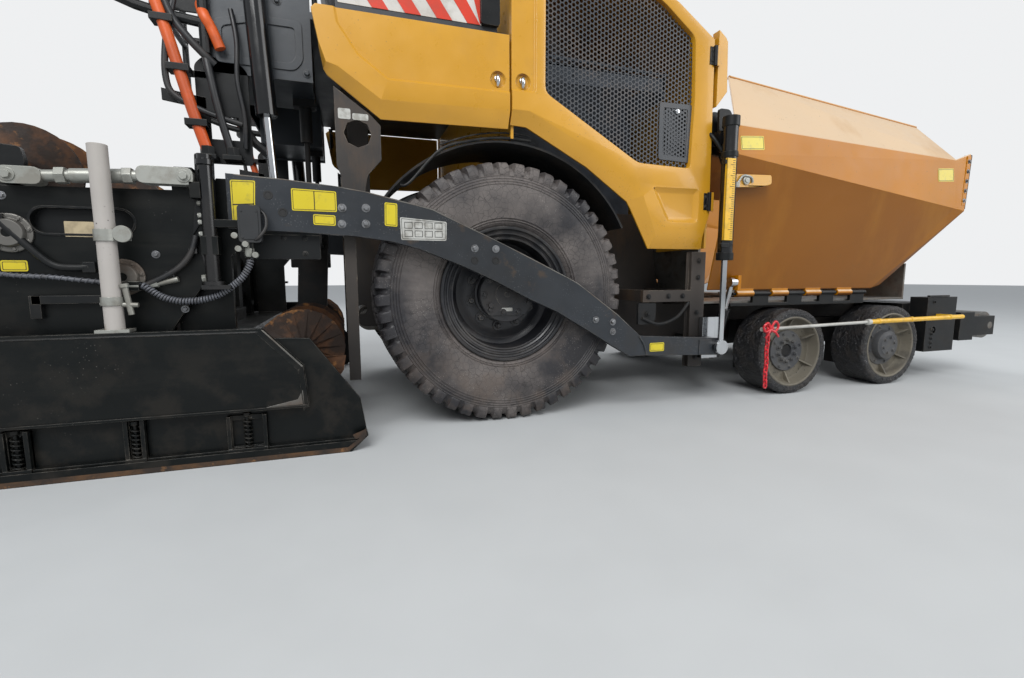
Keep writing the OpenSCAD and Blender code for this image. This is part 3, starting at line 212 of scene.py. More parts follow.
blackWear = [
    {"where": "all", "colour": "#211f1d", "noise": 1.7, "low": 0.5, "high": 0.72, "amount": 0.6},
    {"where": "low", "colour": "#2b2722", "from": 0.75, "to": 0.1, "noise": 9, "amount": 0.5, "rough": 0.65},
    {"where": "specks", "colour": "#5d5a55", "scale": 90, "size": 0.16, "noise": 3.5, "low": 0.58,
     "high": 0.66, "amount": 0.7},
    {"where": "edges", "colour": "#6f6a62", "noise": 24, "low": 0.4, "high": 0.62, "width": 0.003,
     "amount": 0.85},
]
finishTable = {
    "paverYellow": {"colour": "#c08b1e", "second": "#c89225", "rough": 0.32, "coat": 0.3, "coatRough": 0.07,
                    "edge": 0.003, "bumps": [(1.6, 0.05, 0.02), (260, 0.025, 0.001)], "layers": [
                        # painted shade: faces that look down are darker amber
                        {"where": "under", "colour": "#8a5716", "from": -0.55, "to": -0.85, "amount": 0.9},
                        {"where": "all", "colour": "#a87a2c", "noise": 5, "low": 0.55, "high": 0.75,
                         "amount": 0.35, "rough": 0.45},
                        {"where": "specks", "colour": "#7f643a", "scale": 60, "size": 0.14, "noise": 4}]},
    "wingYellow": {"colour": "#aa6a00", "second": "#b47206", "rough": 0.38, "coat": 0.1, "coatRough": 0.08,
                   "specular": 0.25, "edge": 0.004, "bumps": [(1.3, 0.08, 0.03), (240, 0.02, 0.001)],
                   "layers": [
                       # painted shade: faces that look down are dark brown
                       {"where": "under", "colour": "#693c0c", "from": -0.04, "to": -0.3, "amount": 0.97},
                       # painted highlight: faces that look up are pale, a painted sky reflection
                       {"where": "top", "colour": "#dccbae", "from": 0.25, "to": 0.5, "amount": 0.68},
                       {"where": "all", "colour": "#a87420", "noise": 3, "stretch": (1, 1, 0.25), "low": 0.52,
                        "high": 0.75, "amount": 0.4, "rough": 0.42},
                       {"where": "low", "colour": "#6f4a20", "from": 0.9, "to": 0.5, "noise": 6,
                        "amount": 0.35},
                       {"where": "specks", "colour": "#5d4a30", "scale": 45, "size": 0.12, "noise": 5}]},
    "frameBlack": {"colour": "#111314", "second": "#17191a", "rough": 0.4, "specular": 0.25, "edge": 0.003,
                   "bumps": [(35, 0.12, 0.003), (420, 0.08, 0.0008)], "layers": blackWear},
    "armBlack": {"colour": "#23272c", "second": "#2b2f34", "rough": 0.36, "specular": 0.45, "edge": 0.003,
                 "bumps": [(18, 0.12, 0.003), (300, 0.15, 0.001)], "layers": blackWear + [
                     {"where": "specks", "colour": "#6c6d6e", "scale": 130, "size": 0.2, "noise": 8},
                     {"where": "all", "colour": "#4b3c2d", "noise": 7, "low": 0.6, "high": 0.68,
                      "amount": 0.6}]},
    "gateBlack": {"colour": "#090c0c", "second": "#0e1111", "rough": 0.36, "specular": 0.22, "edge": 0.003,
                  "bumps": [(12, 0.12, 0.004), (200, 0.1, 0.0012)], "layers": blackWear + [
                      {"where": "all", "colour": "#1f1f1c", "noise": 4, "stretch": (0.3, 1, 2), "low": 0.52,
                       "high": 0.7, "amount": 0.6, "rough": 0.55}]},
    "bracketBrown": {"colour": "#312e2c", "second": "#403a35", "rough": 0.5, "specular": 0.35, "edge": 0.003,
                     "bumps": [(40, 0.2, 0.003)], "layers": [
                         {"where": "all", "colour": "#564434", "noise": 6, "stretch": (1, 1, 0.35),
                          "low": 0.5,
                          "high": 0.66, "amount": 0.6},
                         {"where": "edges", "colour": "#8a7f70", "noise": 20, "width": 0.004},
                         {"where": "low", "colour": "#15110f", "from": 0.62, "to": 0.35, "amount": 0.8}]},
    "underBlack": {"colour": "#131415", "second": "#1a1b1c", "rough": 0.6, "specular": 0.3,
                   "bumps": [(60, 0.3, 0.004)], "layers": [
                       {"where": "all", "colour": "#2d2722", "noise": 5, "amount": 0.6},
                       {"where": "edges", "colour": "#4a4640", "noise": 20, "width": 0.003}]},
    "tyreRubber": {"colour": "#232225", "second": "#2b2a2d", "rough": 0.48, "specular": 0.45, "uneven": 0.1,
                   "bumps": [(70, 0.35, 0.003), (420, 0.3, 0.001)], "layers": [
                       {"where": "all", "colour": "#6d6662", "noise": 2.2, "low": 0.42, "high": 0.6,
                        "amount": 0.75, "rough": 0.7},
                       {"where": "cracks", "colour": "#141214", "scale": 42, "noise": 4, "low": 0.4,
                        "high": 0.55,
                        "amount": 0.75},
                       {"where": "low", "colour": "#62564d", "from": 0.55, "to": 0.1, "noise": 7,
                        "amount": 0.5,
                        "rough": 0.8},
                       {"where": "specks", "colour": "#8f8a85", "scale": 150, "size": 0.2, "noise": 9},
                       {"where": "edges", "colour": "#55504c", "noise": 40, "width": 0.004, "amount": 0.6}]},
    "asphaltRubber": {"colour": "#0f0f11", "second": "#1b1b1e", "rough": 0.42, "specular": 0.55, "mottle": 30,
                      "bumps": [(60, 0.9, 0.012), (240, 0.6, 0.004)], "layers": [
                          {"where": "specks", "colour": "#8a8a8c", "scale": 85, "size": 0.24, "noise": 30},
                          {"where": "all", "colour": "#3a332c", "noise": 14, "amount": 0.4}]},
    "rimBlack": {"colour": "#191a1d", "second": "#222327", "rough": 0.34, "specular": 0.5, "edge": 0.002,
                 "bumps": [(50, 0.12, 0.002)], "layers": [
                     {"where": "all", "colour": "#3c3733", "noise": 4, "amount": 0.5, "rough": 0.6},
                     {"where": "edges", "colour": "#77726b", "noise": 12, "width": 0.004, "amount": 0.8}]},
    "khakiRim": {"colour": "#5b564b", "second": "#6d675a", "rough": 0.62, "edge": 0.003,
                 "bumps": [(50, 0.3, 0.003), (260, 0.2, 0.001)], "layers": [
                     {"where": "all", "colour": "#3e3a34", "noise": 8, "amount": 0.7},
                     {"where": "edges", "colour": "#8d8676", "noise": 12, "width": 0.006, "amount": 0.8},
                     {"where": "specks", "colour": "#1b1a19", "scale": 60, "size": 0.25, "noise": 7}]},
    "hubGrey": {"colour": "#3b3c3f", "second": "#48494b", "rough": 0.5, "edge": 0.002,
                "bumps": [(80, 0.2, 0.002)], "layers": [
                    {"where": "all", "colour": "#57534b", "noise": 8, "amount": 0.5},
                    {"where": "edges", "colour": "#77736b", "noise": 14, "width": 0.003}]},
    "wornSteel": {"colour": "#6b6965", "second": "#807d77", "rough": 0.42, "metal": 0.7, "edge": 0.002,
                  "bumps": [(90, 0.15, 0.002)], "layers": [
                      {"where": "all", "colour": "#5a4433", "noise": 6, "amount": 0.55, "rough": 0.7},
                      {"where": "all", "colour": "#2c2927", "noise": 11, "low": 0.55, "high": 0.7,
                       "amount": 0.6}]},
    "chromeRod": {"colour": "#c9cbcd", "second": "#b9bbbd", "rough": 0.14, "metal": 1, "uneven": 0.04,
                  "layers": [{"where": "all", "colour": "#8f8f8d", "noise": 30, "stretch": (1, 1, 0.1),
                              "amount": 0.4}]},
    "zincPlate": {"colour": "#a9aaa4", "second": "#8f9089", "rough": 0.4, "metal": 0.55, "edge": 0.0015,
                  "bumps": [(60, 0.1, 0.001)], "layers": [
                      {"where": "all", "colour": "#6d665c", "noise": 14, "amount": 0.5, "rough": 0.6}]},
    "boltZinc": {"colour": "#8f9092", "second": "#6d6e70", "rough": 0.36, "metal": 0.8, "edge": 0.001,
                 "layers": [{"where": "all", "colour": "#3d3a37", "noise": 40, "amount": 0.6}]},
    "greyTube": {"colour": "#a39e99", "second": "#b0aba6", "rough": 0.55, "bumps": [(120, 0.08, 0.001)],
                 "layers": [{"where": "all", "colour": "#a39e97", "noise": 5, "stretch": (1, 1, 0.2),
                             "amount": 0.6},
                            {"where": "specks", "colour": "#4f4a45", "scale": 55, "size": 0.16, "noise": 6},
                            {"where": "low", "colour": "#7c6f5f", "from": 0.62, "to": 0.45, "noise": 9}]},
    "edgeBrown": {"colour": "#33251a", "second": "#54391f", "rough": 0.65, "mottle": 14,
                  "bumps": [(120, 0.4, 0.003)], "layers": [
                      {"where": "all", "colour": "#1b1613", "noise": 9, "low": 0.45, "high": 0.6,
                       "amount": 0.8},
                      {"where": "all", "colour": "#96683a", "noise": 21, "low": 0.6, "high": 0.7,
                       "amount": 0.6}]},
    "glossBlack": {"colour": "#0c0d0f", "second": "#111214", "rough": 0.16, "specular": 0.55, "layers": [
        {"where": "all", "colour": "#2a2724", "noise": 6, "stretch": (1, 1, 0.3), "amount": 0.35,
         "rough": 0.5}]},
    "oldRust": {"colour": "#5b3a22", "second": "#744a28", "rough": 0.75, "mottle": 9,
                "bumps": [(90, 0.4, 0.003)], "layers": [
                    {"where": "all", "colour": "#1f1a17", "noise": 4, "low": 0.4, "high": 0.54,
                     "amount": 0.9},
                    {"where": "all", "colour": "#a9733c", "noise": 13, "low": 0.58, "high": 0.68,
                     "amount": 0.7}]},
    "hoseBlack": {"colour": "#17181a", "second": "#1f2022", "rough": 0.42, "specular": 0.5,
                  "bumps": [(160, 0.1, 0.001)], "layers": [
                      {"where": "all", "colour": "#34302d", "noise": 9, "amount": 0.5, "rough": 0.6}]},
    "spiralGrey": {"colour": "#4c4e54", "second": "#5b5d63", "rough": 0.42, "layers": [
        {"where": "all", "colour": "#2f2c2a", "noise": 20, "amount": 0.5}]},
    "conduitOrange": {"colour": "#c4501c", "second": "#cd5a22", "rough": 0.4, "bumps": [(90, 0.06, 0.001)],
                      "layers": [{"where": "all", "colour": "#7a3a1e", "noise": 7, "amount": 0.35}]},
    "labelYellow": {"colour": "#c9b51a", "second": "#d0bd22", "rough": 0.35, "coat": 0.3, "layers": [
        {"where": "all", "colour": "#8a7f3a", "noise": 30, "low": 0.55, "high": 0.7, "amount": 0.5}]},
    "labelPale": {"colour": "#b9b9b4", "second": "#a5a5a0", "rough": 0.4, "layers": [
        {"where": "all", "colour": "#77736a", "noise": 26, "amount": 0.6}]},
    "plateBeige": {"colour": "#b3a384", "second": "#c0b191", "rough": 0.45, "metal": 0.3, "layers": [
        {"where": "all", "colour": "#877a62", "noise": 22, "amount": 0.5}]},
    "scaleYellow": {"colour": "#e0b01e", "second": "#d8a61c", "rough": 0.4, "coat": 0.2, "layers": [
        {"where": "all", "colour": "#a8862a", "noise": 30, "amount": 0.4}]},
    # black for print, lines and the screen, also painted shade in the arm's holes and behind the access panel
    "inkAndShadeBlack": {"colour": "#141414", "second": "#1c1c1c", "rough": 0.5},
    "stripeRed": {"colour": "#cf3a22", "second": "#c6351f", "rough": 0.35, "layers": [
        {"where": "all", "colour": "#8f3a28", "noise": 12, "amount": 0.3}]},
    "stripeWhite": {"colour": "#cfcdc8", "second": "#bdbab4", "rough": 0.4, "layers": [
        {"where": "all", "colour": "#8f8a80", "noise": 9, "amount": 0.5}]},
    "chainRed": {"colour": "#c3121f", "second": "#d0182a", "rough": 0.35, "coat": 0.4, "layers": [
        {"where": "all", "colour": "#7c1a1c", "noise": 30, "amount": 0.4}]},
    "rodWhite": {"colour": "#b9b9b4", "second": "#a3a39d", "rough": 0.4, "layers": [
        {"where": "all", "colour": "#7c7a73", "noise": 14, "stretch": (0.3, 1, 1), "amount": 0.6}]},
    "meshGrey": {"colour": "#33363a", "second": "#3d4044", "rough": 0.4, "specular": 0.55, "layers": [
        {"where": "all", "colour": "#5a5048", "noise": 6, "amount": 0.4}]},
    "engineGrey": {"colour": "#3c424a", "second": "#454b54", "rough": 0.5, "layers": [
        {"where": "all", "colour": "#23262a", "noise": 9, "amount": 0.6}]},
    "consolePlastic": {"colour": "#1f2123", "second": "#26282b", "rough": 0.5,
                       "bumps": [(500, 0.3, 0.0006)], "layers": [
                           {"where": "all", "colour": "#4a463f", "noise": 6, "amount": 0.25}]},
    "seatVinyl": {"colour": "#1d1e21", "second": "#26272a", "rough": 0.5, "sheen": 0.2,
                  "bumps": [(30, 0.1, 0.004), (700, 0.35, 0.0006)], "layers": [
                      {"where": "all", "colour": "#4b453d", "noise": 4, "amount": 0.3, "rough": 0.7}]},
    "deckSteel": {"colour": "#2e3338", "second": "#363b40", "rough": 0.45, "edge": 0.003,
                  "bumps": [(60, 0.15, 0.002)], "layers": blackWear},
    "floorPale": {"colour": "#b9bcbd", "second": "#bcbfc0", "rough": 0.85, "bumps": [(40, 0.05, 0.002)]},
}
finishes = {name: wornAndPaintedLightFinish(name, s) for name, s in finishTable.items()}
nodeFinishes = {
    "paverYellow": ("hood", "grille_door", "service_door", "canopy_roof"),
    "wingYellow": ("wing_right", "wing_left"),
    "armBlack": ("tow_arms",),
    "gateBlack": ("screed_ext", "end_gate", "screed_main"),
    "glossBlack": ("lift_barrels", "wing_barrel", "levelling_cylinders"),
    "bracketBrown": ("frame_right", "frame_left"),
    "rimBlack": ("rear_rim",),
    "tyreRubber": ("rear_tyre",),
    "asphaltRubber": ("front_wheel",),
    "underBlack": ("axles", "knuckle", "auger_frame", "mudguards"),
    "wornSteel": ("hopper_floor", "conveyor", "push_rollers"),
    "chromeRod": ("lift_rods", "wing_rod", "tow_points"),
    "oldRust": ("auger_right", "auger_left"),
    "engineGrey": ("engine",),
    "meshGrey": ("grille_mesh",),
    "deckSteel": ("platform",),
    "consolePlastic": ("console",),
    "seatVinyl": ("seats",),
    "hoseBlack": ("hoses", "cables", "curly_cable"),
    "rodWhite": ("guide_rods",),
    "frameBlack": ("chassis", "bumper", "roller_beam", "handrails", "canopy_"),
}
for nodeName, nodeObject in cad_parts.items():
    chosen = next(f for f, starts in nodeFinishes.items() if nodeName.startswith(starts))
    if not nodeObject.material_slots:
        nodeObject.data.materials.append(finishes[chosen])
    for slot in nodeObject.material_slots:
        slot.material = finishes[chosen]
print("finishes made:", len(finishes))


# shapes: every point is (along, outboard, up) and one call at the end sets the side of the machine

def finishPiece(name, bm, body, finish, side=1, bevel=0, steps=2, smooth=35):
    for v in bm.verts:
        v.co = (v.co.x + rearAxleX, -side * v.co.y, v.co.z)
    bmesh.ops.recalc_face_normals(bm, faces=bm.faces)
    mesh = bpy.data.meshes.new(name)
    bm.to_mesh(mesh)
    bm.free()
    mesh.shade_smooth()
    mesh.set_sharp_from_angle(angle=math.radians(smooth))
    piece = bpy.data.objects.new(name, mesh)
    bpy.context.collection.objects.link(piece)
    mesh.materials.append(finishes[finish])
    if bevel:
        rounding = piece.modifiers.new("rounding", "BEVEL")
        rounding.width = bevel
        rounding.segments = steps
        rounding.limit_method = "ANGLE"
        rounding.angle_limit = math.radians(28)
        rounding.harden_normals = True
    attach(piece, body)
    return piece


def ring(x, z, r, n=20, turn=0):
    return [(x + r * math.cos(turn + k * math.tau / n),
        z + r * math.sin(turn + k * math.tau / n)) for k in range(n)]


def roundCorners(points, r, steps=4):
    made = []
    for i, p in enumerate(points):
        p = Vector(p)
        a, b = Vector(points[i - 1]) - p, Vector(points[(i + 1) % len(points)]) - p
        cut = min(r, a.length * 0.45, b.length * 0.45)
        for k in range(steps + 1):
            t = k / steps
            one, two = p + a.normalized() * cut, p + b.normalized() * cut
            made.append(tuple(one * (1 - t) ** 2 + p * 2 * t * (1 - t) + two * t ** 2))
    return made


def smoothLine(points, per=6):
    pts = [Vector(p) for p in points]
    made = []
    for i in range(len(pts) - 1):
        a, b, c, d = pts[max(i - 1, 0)], pts[i], pts[i + 1], pts[min(i + 2, len(pts) - 1)]
        for k in range(per):
            t = k / per
            made.append(0.5 * (2 * b + (c - a) * t + (2 * a - 5 * b + 4 * c - d) * t * t +
                               (3 * b - a - 3 * c + d) * t ** 3))
    return made + [pts[-1]]


def addPlate(bm, outline, inner, outer, holes=()):
    loops = [list(outline)] + [list(h) for h in holes]
    triangles = tessellate_polygon([[Vector((x, z, 0)) for x, z in loop] for loop in loops])
    points = [p for loop in loops for p in loop]
    low, high = [[bm.verts.new((x, o, z)) for x, z in points] for o in (inner, outer)]
    for t in triangles:
        bm.faces.new([low[i] for i in t])
        bm.faces.new([high[i] for i in t])
    start = 0
    for loop in loops:
        n = len(loop)
        for k in range(n):
            a, b = start + k, start + (k + 1) % n
            bm.faces.new((low[a], low[b], high[b], high[a]))
        start += n


def addBlock(bm, x, o, z):
    addPlate(bm, [(x[0], z[0]), (x[1], z[0]), (x[1], z[1]), (x[0], z[1])], o[0], o[1])


def addSweep(bm, points, r, n=12, turn=0):
    pts = [Vector(p) for p in points]
    radii = r if isinstance(r, (list, tuple)) else [r] * len(pts)
    along = [(pts[min(i + 1, len(pts) - 1)] - pts[max(i - 1, 0)]).normalized() for i in range(len(pts))]
    across = along[0].orthogonal().normalized()
    rings = []
    for i, p in enumerate(pts):
        across = (across - along[i] * across.dot(along[i])).normalized()
        other = along[i].cross(across)
        turns = [turn + k * math.tau / n for k in range(n)]
        rings.append([bm.verts.new(p + radii[i] * (across * math.cos(a) + other * math.sin(a)))
                      for a in turns])
    for one, two in zip(rings, rings[1:]):
        for k in range(n):
            bm.faces.new((one[k], one[(k + 1) % n], two[(k + 1) % n], two[k]))
    bm.faces.new(rings[0])
    bm.faces.new(rings[-1])


def addRod(bm, a, b, r, n=20, r2=None):
    addSweep(bm, [a, b], [r, r if r2 is None else r2], n, math.pi / n)


# profile of (outboard, radius) turned round a crosswise axis; a closed profile makes a ring
def addTurned(bm, profile, x, z, n=64, closed=False):
    rings = []
    for o, r in profile:
        if r < 1e-6:
            rings.append([bm.verts.new((x, o, z))] * n)
        else:
            rings.append([bm.verts.new((x + r * math.cos(k * math.tau / n), o,
                z + r * math.sin(k * math.tau / n))) for k in range(n)])
    pairs = list(zip(rings, rings[1:])) + ([(rings[-1], rings[0])] if closed else [])
    for one, two in pairs:
        for k in range(n):
            corners = [one[k], one[(k + 1) % n], two[(k + 1) % n], two[k]]
            corners = [c for i, c in enumerate(corners) if c not in corners[:i]]
            if len(corners) > 2:
                bm.faces.new(corners)
    if not closed:
        for end in (rings[0], rings[-1]):
            if end[0] is not end[1]:
                bm.faces.new(end)


# washer and hexagon head on a face that looks outboard
def addBolt(bm, x, o, z, size=0.018, sunk=0.002):
    addRod(bm, (x, o - sunk, z), (x, o + size * 0.12, z), size * 0.95, 18)
    addSweep(bm, [(x, o, z), (x, o + size * 0.6, z), (x, o + size * 0.7, z)],
        [size * 0.58, size * 0.58, size * 0.46], 6, random.uniform(0, 1))


# rows of bolts at once: points of (along, up)
def boltRow(name, points, o, body, side=1, size=0.018, finish="boltZinc"):
    bm = bmesh.new()
    for x, z in points:
        addBolt(bm, x, o, z, size)
    return finishPiece(name, bm, body, finish, side)


# cords, on the routes that part.scad gives their solids

def pathLength(points):
    return sum((Vector(b) - Vector(a)).length for a, b in zip(points, points[1:]))


curlyCable = {"coil": 0.0085, "wire": 0.0035, "pitch": 0.0088, "perTurn": 12, "route": [
    (-1.282, 0.907, 0.598), (-1.272, 0.907, 0.598), (-1.245, 0.907, 0.576), (-1.219, 0.907, 0.56),
    (-1.177, 0.907, 0.548), (-1.128, 0.907, 0.549), (-1.1, 0.907, 0.554), (-1.065, 0.907, 0.566),
    (-1.035, 0.907, 0.584), (-1.01, 0.907, 0.604), (-0.985, 0.907, 0.628), (-0.962, 0.907, 0.67),
    (-0.962, 0.907, 0.6895)]}
wrappedCable = {"core": 0.0062, "band": 0.0018, "pitch": 0.016, "perTurn": 14,
    "route": [(-1.66, 0.8883, 0.64), (-1.6, 0.9003, 0.632), (-1.52, 0.9043, 0.628),
    (-1.44, 0.9003, 0.618), (-1.391, 0.8883, 0.612)]}


# a wire wound round a route, with points for each turn
def helixRound(route, radius, pitch, perTurn):
    route = [Vector(p) for p in route]
    total = pathLength(route)
    count = int(total / pitch * perTurn)
    marks, run = [0], 0
    for a, b in zip(route, route[1:]):
        run += (b - a).length
        marks.append(run)
    made, i = [], 0
    across = (route[1] - route[0]).orthogonal().normalized()
    for k in range(count + 1):
        at = total * k / count
        while i < len(route) - 2 and marks[i + 1] < at:
            i += 1
        along = (route[i + 1] - route[i]).normalized()
        middle = route[i] + along * (at - marks[i])
        across = (across - along * across.dot(along)).normalized()
        turn = k / perTurn * math.tau
        made.append(middle + radius * (across * math.cos(turn) + along.cross(across) * math.sin(turn)))
    return made


s = curlyCable
curlyLine = smoothLine(s["route"], 3)
bm = bmesh.new()
addSweep(bm, helixRound(curlyLine, s["coil"], s["pitch"], s["perTurn"]), s["wire"], 6)
curly = finishPiece("curlyCable", bm, "screed_ext_right", "spiralGrey", smooth=60)
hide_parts("curly_cable")

s = wrappedCable
wrappedLine = smoothLine(s["route"], 6)
bm = bmesh.new()
addSweep(bm, wrappedLine, s["core"], 12)
addSweep(bm, helixRound(wrappedLine, s["core"], s["pitch"], s["perTurn"]), s["band"] * 1.4, 6)
wrapped = finishPiece("wrappedCable", bm, "screed_ext_right", "spiralGrey", smooth=60)
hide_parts("cables")
print("cords laid")

# rear tyres: a skin whose stations lie between a groove line and a lug line

tyreMiddle, axleUp = 0.6175, 0.55
rearTyre = {"lugs": 48, "perLug": 15, "lugShare": 0.33, "chip": 0.0035}
sidewall = [(0.134, 0.286), (0.15, 0.288), (0.158, 0.296), (0.1635, 0.303), (0.161, 0.3065), (0.1675, 0.311),
            (0.165, 0.316), (0.1705, 0.321), (0.171, 0.329), (0.1755, 0.346), (0.1792, 0.37), (0.1816, 0.4),
            (0.182, 0.425), (0.1812, 0.445), (0.1798, 0.4545), (0.1822, 0.457), (0.1792, 0.4595),
            (0.1784, 0.4655),
            (0.1806, 0.468), (0.1772, 0.4705), (0.1762, 0.4765), (0.1782, 0.479), (0.1752, 0.4815),
            (0.174, 0.4875), (0.176, 0.49), (0.1735, 0.4925)]
# groove (outboard, radius), lug (outboard, radius), row of lugs or none
treadLine = [((0.171, 0.4975), (0.1765, 0.4985), 1), ((0.168, 0.506), (0.1765, 0.508), 1),
             ((0.163, 0.516), (0.1755, 0.52), 1), ((0.155, 0.524), (0.172, 0.533), 1),
             ((0.146, 0.528), (0.165, 0.5425), 1), ((0.137, 0.53), (0.153, 0.5475), 1),
             ((0.122, 0.53), (0.125, 0.5493), 1), ((0.1, 0.53), (0.1, 0.5496), 1),
             ((0.09, 0.53), (0.091, 0.5496), 1), ((0.086, 0.53), (0.086, 0.53), 0), ((0.08, 0.53),
                                                                                     (0.08, 0.53), 0),
             ((0.076, 0.53), (0.076, 0.5496), 2), ((0.055, 0.53), (0.055, 0.5498), 2),
             ((0.034, 0.53), (0.034, 0.5498), 2), ((0.013, 0.53), (0.013, 0.5498), 2),
             ((0.008, 0.53), (0.008, 0.53), 0)]


def addRearTyre(bm, s):
    half = [(p, p, 0) for p in sidewall] + treadLine
    stations = [(g, l, row, 0) for g, l, row in half]
    stations += [((-g[0], g[1]), (-l[0], l[1]), row, 1) for g, l, row in reversed(half)]
    count = s["lugs"] * s["perLug"]
    rings = []
    for g, l, row, half in stations:
        shift = {0: 0, 1: 0.0, 2: 0.45}[row] + half * 0.5
        line = []
        for k in range(count):
            turn = k / s["perLug"] + shift + (abs(l[0]) * 5 if row == 2 else abs(l[0]) * 1.5)
            lug = math.floor(turn) % s["lugs"]
            odd = noise.noise(Vector((lug * 3.7, row * 9.1, half * 4.3)))
            reach = abs(turn - math.floor(turn) - 0.5 + odd * 0.05)
            mask = min(max((s["lugShare"] + odd * 0.06 + 0.05 - reach) / 0.07, 0), 1) if row else 0
            a = k / count * math.tau
            grain = noise.noise(Vector((math.cos(a) * 26, l[0] * 60, math.sin(a) * 26)))
            chip = s["chip"] * (grain * 1.3 + odd) * mask
            o = g[0] + (l[0] - g[0]) * mask
            r = g[1] + (l[1] - g[1]) * mask + min(chip, 0.0004 if l[1] > 0.545 else chip)
            if not row and g[1] < 0.45:
                o += 0.0012 * grain * (1 if o > 0 else -1)
            line.append(bm.verts.new((r * math.cos(a), tyreMiddle + o, axleUp + r * math.sin(a))))
        rings.append(line)
    rings.append(rings[0])
    for one, two in zip(rings, rings[1:]):
        for k in range(count):
            bm.faces.new((one[k], one[(k + 1) % count], two[(k + 1) % count], two[k]))


# rims: a rolled flange in steps, the well, and a dished disc; all (outboard of the tyre's middle, radius)
rimLine = [(0.148, 0.2855), (0.16, 0.2885), (0.1635, 0.284), (0.1625, 0.276), (0.154, 0.271), (0.151, 0.265),
           (0.1555, 0.2605), (0.1545, 0.255), (0.147, 0.251), (0.143, 0.244), (0.147, 0.2395),
           (0.1455, 0.234),
           (0.12, 0.231), (0.075, 0.229), (0.062, 0.224), (0.058, 0.212), (0.05, 0.2), (0.054, 0.178),
           (0.062, 0.165), (0.064, 0.15), (0.064, 0.118), (0.045, 0.118), (0.045, 0.17), (0.03, 0.215),
           (0.0, 0.24),
           (-0.12, 0.246), (-0.15, 0.262), (-0.163, 0.278), (-0.162, 0.2885), (-0.148, 0.2855)]
hubLine = [(-0.02, 0.088), (-0.02, 0.12), (0.066, 0.1235), (0.075, 0.1225), (0.08, 0.114),
    (0.128, 0.1115), (0.133, 0.118), (0.146, 0.119), (0.1485, 0.116), (0.1485, 0)]
hub = {"plateRadius": 0.118, "flat": -0.088, "bolts": 9, "boltRing": 0.101, "nuts": 10, "nutRing": 0.141}

for side, sign in sides.items():
    body = "rear_wheel_" + side
    bm = bmesh.new()
    addRearTyre(bm, rearTyre)
    tyre = finishPiece("rearTyre_" + side, bm, body, "tyreRubber", sign, smooth=32)
    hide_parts("rear_tyre_" + side)
    bm = bmesh.new()
    addTurned(bm, [(tyreMiddle + o, r) for o, r in rimLine], 0, axleUp, 120, closed=True)
    addTurned(bm, [(tyreMiddle + o, r) for o, r in hubLine], 0, axleUp, 64)
    for k in range(hub["nuts"]):
        a = k * math.tau / hub["nuts"] + 0.2
        x, z = hub["nutRing"] * math.cos(a), axleUp + hub["nutRing"] * math.sin(a)
        addRod(bm, (x, tyreMiddle + 0.05, z), (x, tyreMiddle + 0.069, z), 0.018, 20)
        addBolt(bm, x, tyreMiddle + 0.068, z, 0.024)
        addRod(bm, (x, tyreMiddle + 0.07, z), (x, tyreMiddle + 0.092, z), 0.008, 12)
    rim = finishPiece("rearRim_" + side, bm, body, "rimBlack", sign, smooth=30)
    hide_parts("rear_rim_" + side)
    bm = bmesh.new()
    cap = [(x, max(z, axleUp + hub["flat"])) for x, z in ring(0, axleUp, hub["plateRadius"], 48)]
    addPlate(bm, cap, 0.766, 0.7745)
    addTurned(bm, [(0.77, 0.05), (0.7775, 0.05), (0.7785, 0.046), (0.7785, 0.012), (0.782, 0.011),
        (0.782, 0)], 0, axleUp, 32)
    for k in range(hub["bolts"]):
        a = k * math.tau / hub["bolts"] + 0.35
        addBolt(bm, hub["boltRing"] * math.cos(a), 0.7745,
            axleUp + max(hub["boltRing"] * math.sin(a), -0.076), 0.016)
    addRod(bm, (-0.075, 0.7745, axleUp - 0.045), (-0.075, 0.79, axleUp - 0.045), 0.012, 6)
    finishPiece("hubCap_" + side, bm, body, "rimBlack", sign, bevel=0.0012)
    bm = bmesh.new()
    addPlate(bm, roundCorners([(-0.024, 0.478), (0.024, 0.478), (0.024, 0.493), (-0.024, 0.493)], 0.003),
        0.7744, 0.7758)
    finishPiece("hubPlate_" + side, bm, body, "labelPale", sign)
print("rear wheels made")

# front wheels: torn rubber with grains of asphalt, a ribbed rim and a bolted disc

frontUp, frontMiddle = 0.228, 0.7185
frontWheels = {1: {"x": 1.581, "cover": [(0.052, 0.11), (0.0555, 0.107), (0.0555, 0.036), (0.035, 0.034),
                                         (0.035, 0)],
                   "outer": (8, 0.094, 0.011), "inner": (10, 0.058, 0.017), "face": 0.0555},
               2: {"x": 2.312, "cover": [(0.044, 0.122), (0.05, 0.119), (0.0515, 0.088), (0.076, 0.084),
                                         (0.084, 0.08),
                                         (0.088, 0.062), (0.0905, 0.059), (0.0905, 0)],
                   "outer": (8, 0.105, 0.011), "inner": (6, 0.045, 0.012), "face": 0.0905}}
frontRim = {"ribs": 6, "line": [(0.098, 0.187), (0.1005, 0.181), (0.098, 0.1755), (0.09, 0.172),
    (0.055, 0.163), (0.047, 0.157), (0.045, 0.1), (0.03, 0.1), (0.03, 0.15), (0.02, 0.162),
    (-0.085, 0.17), (-0.1, 0.176), (-0.1, 0.187)]}


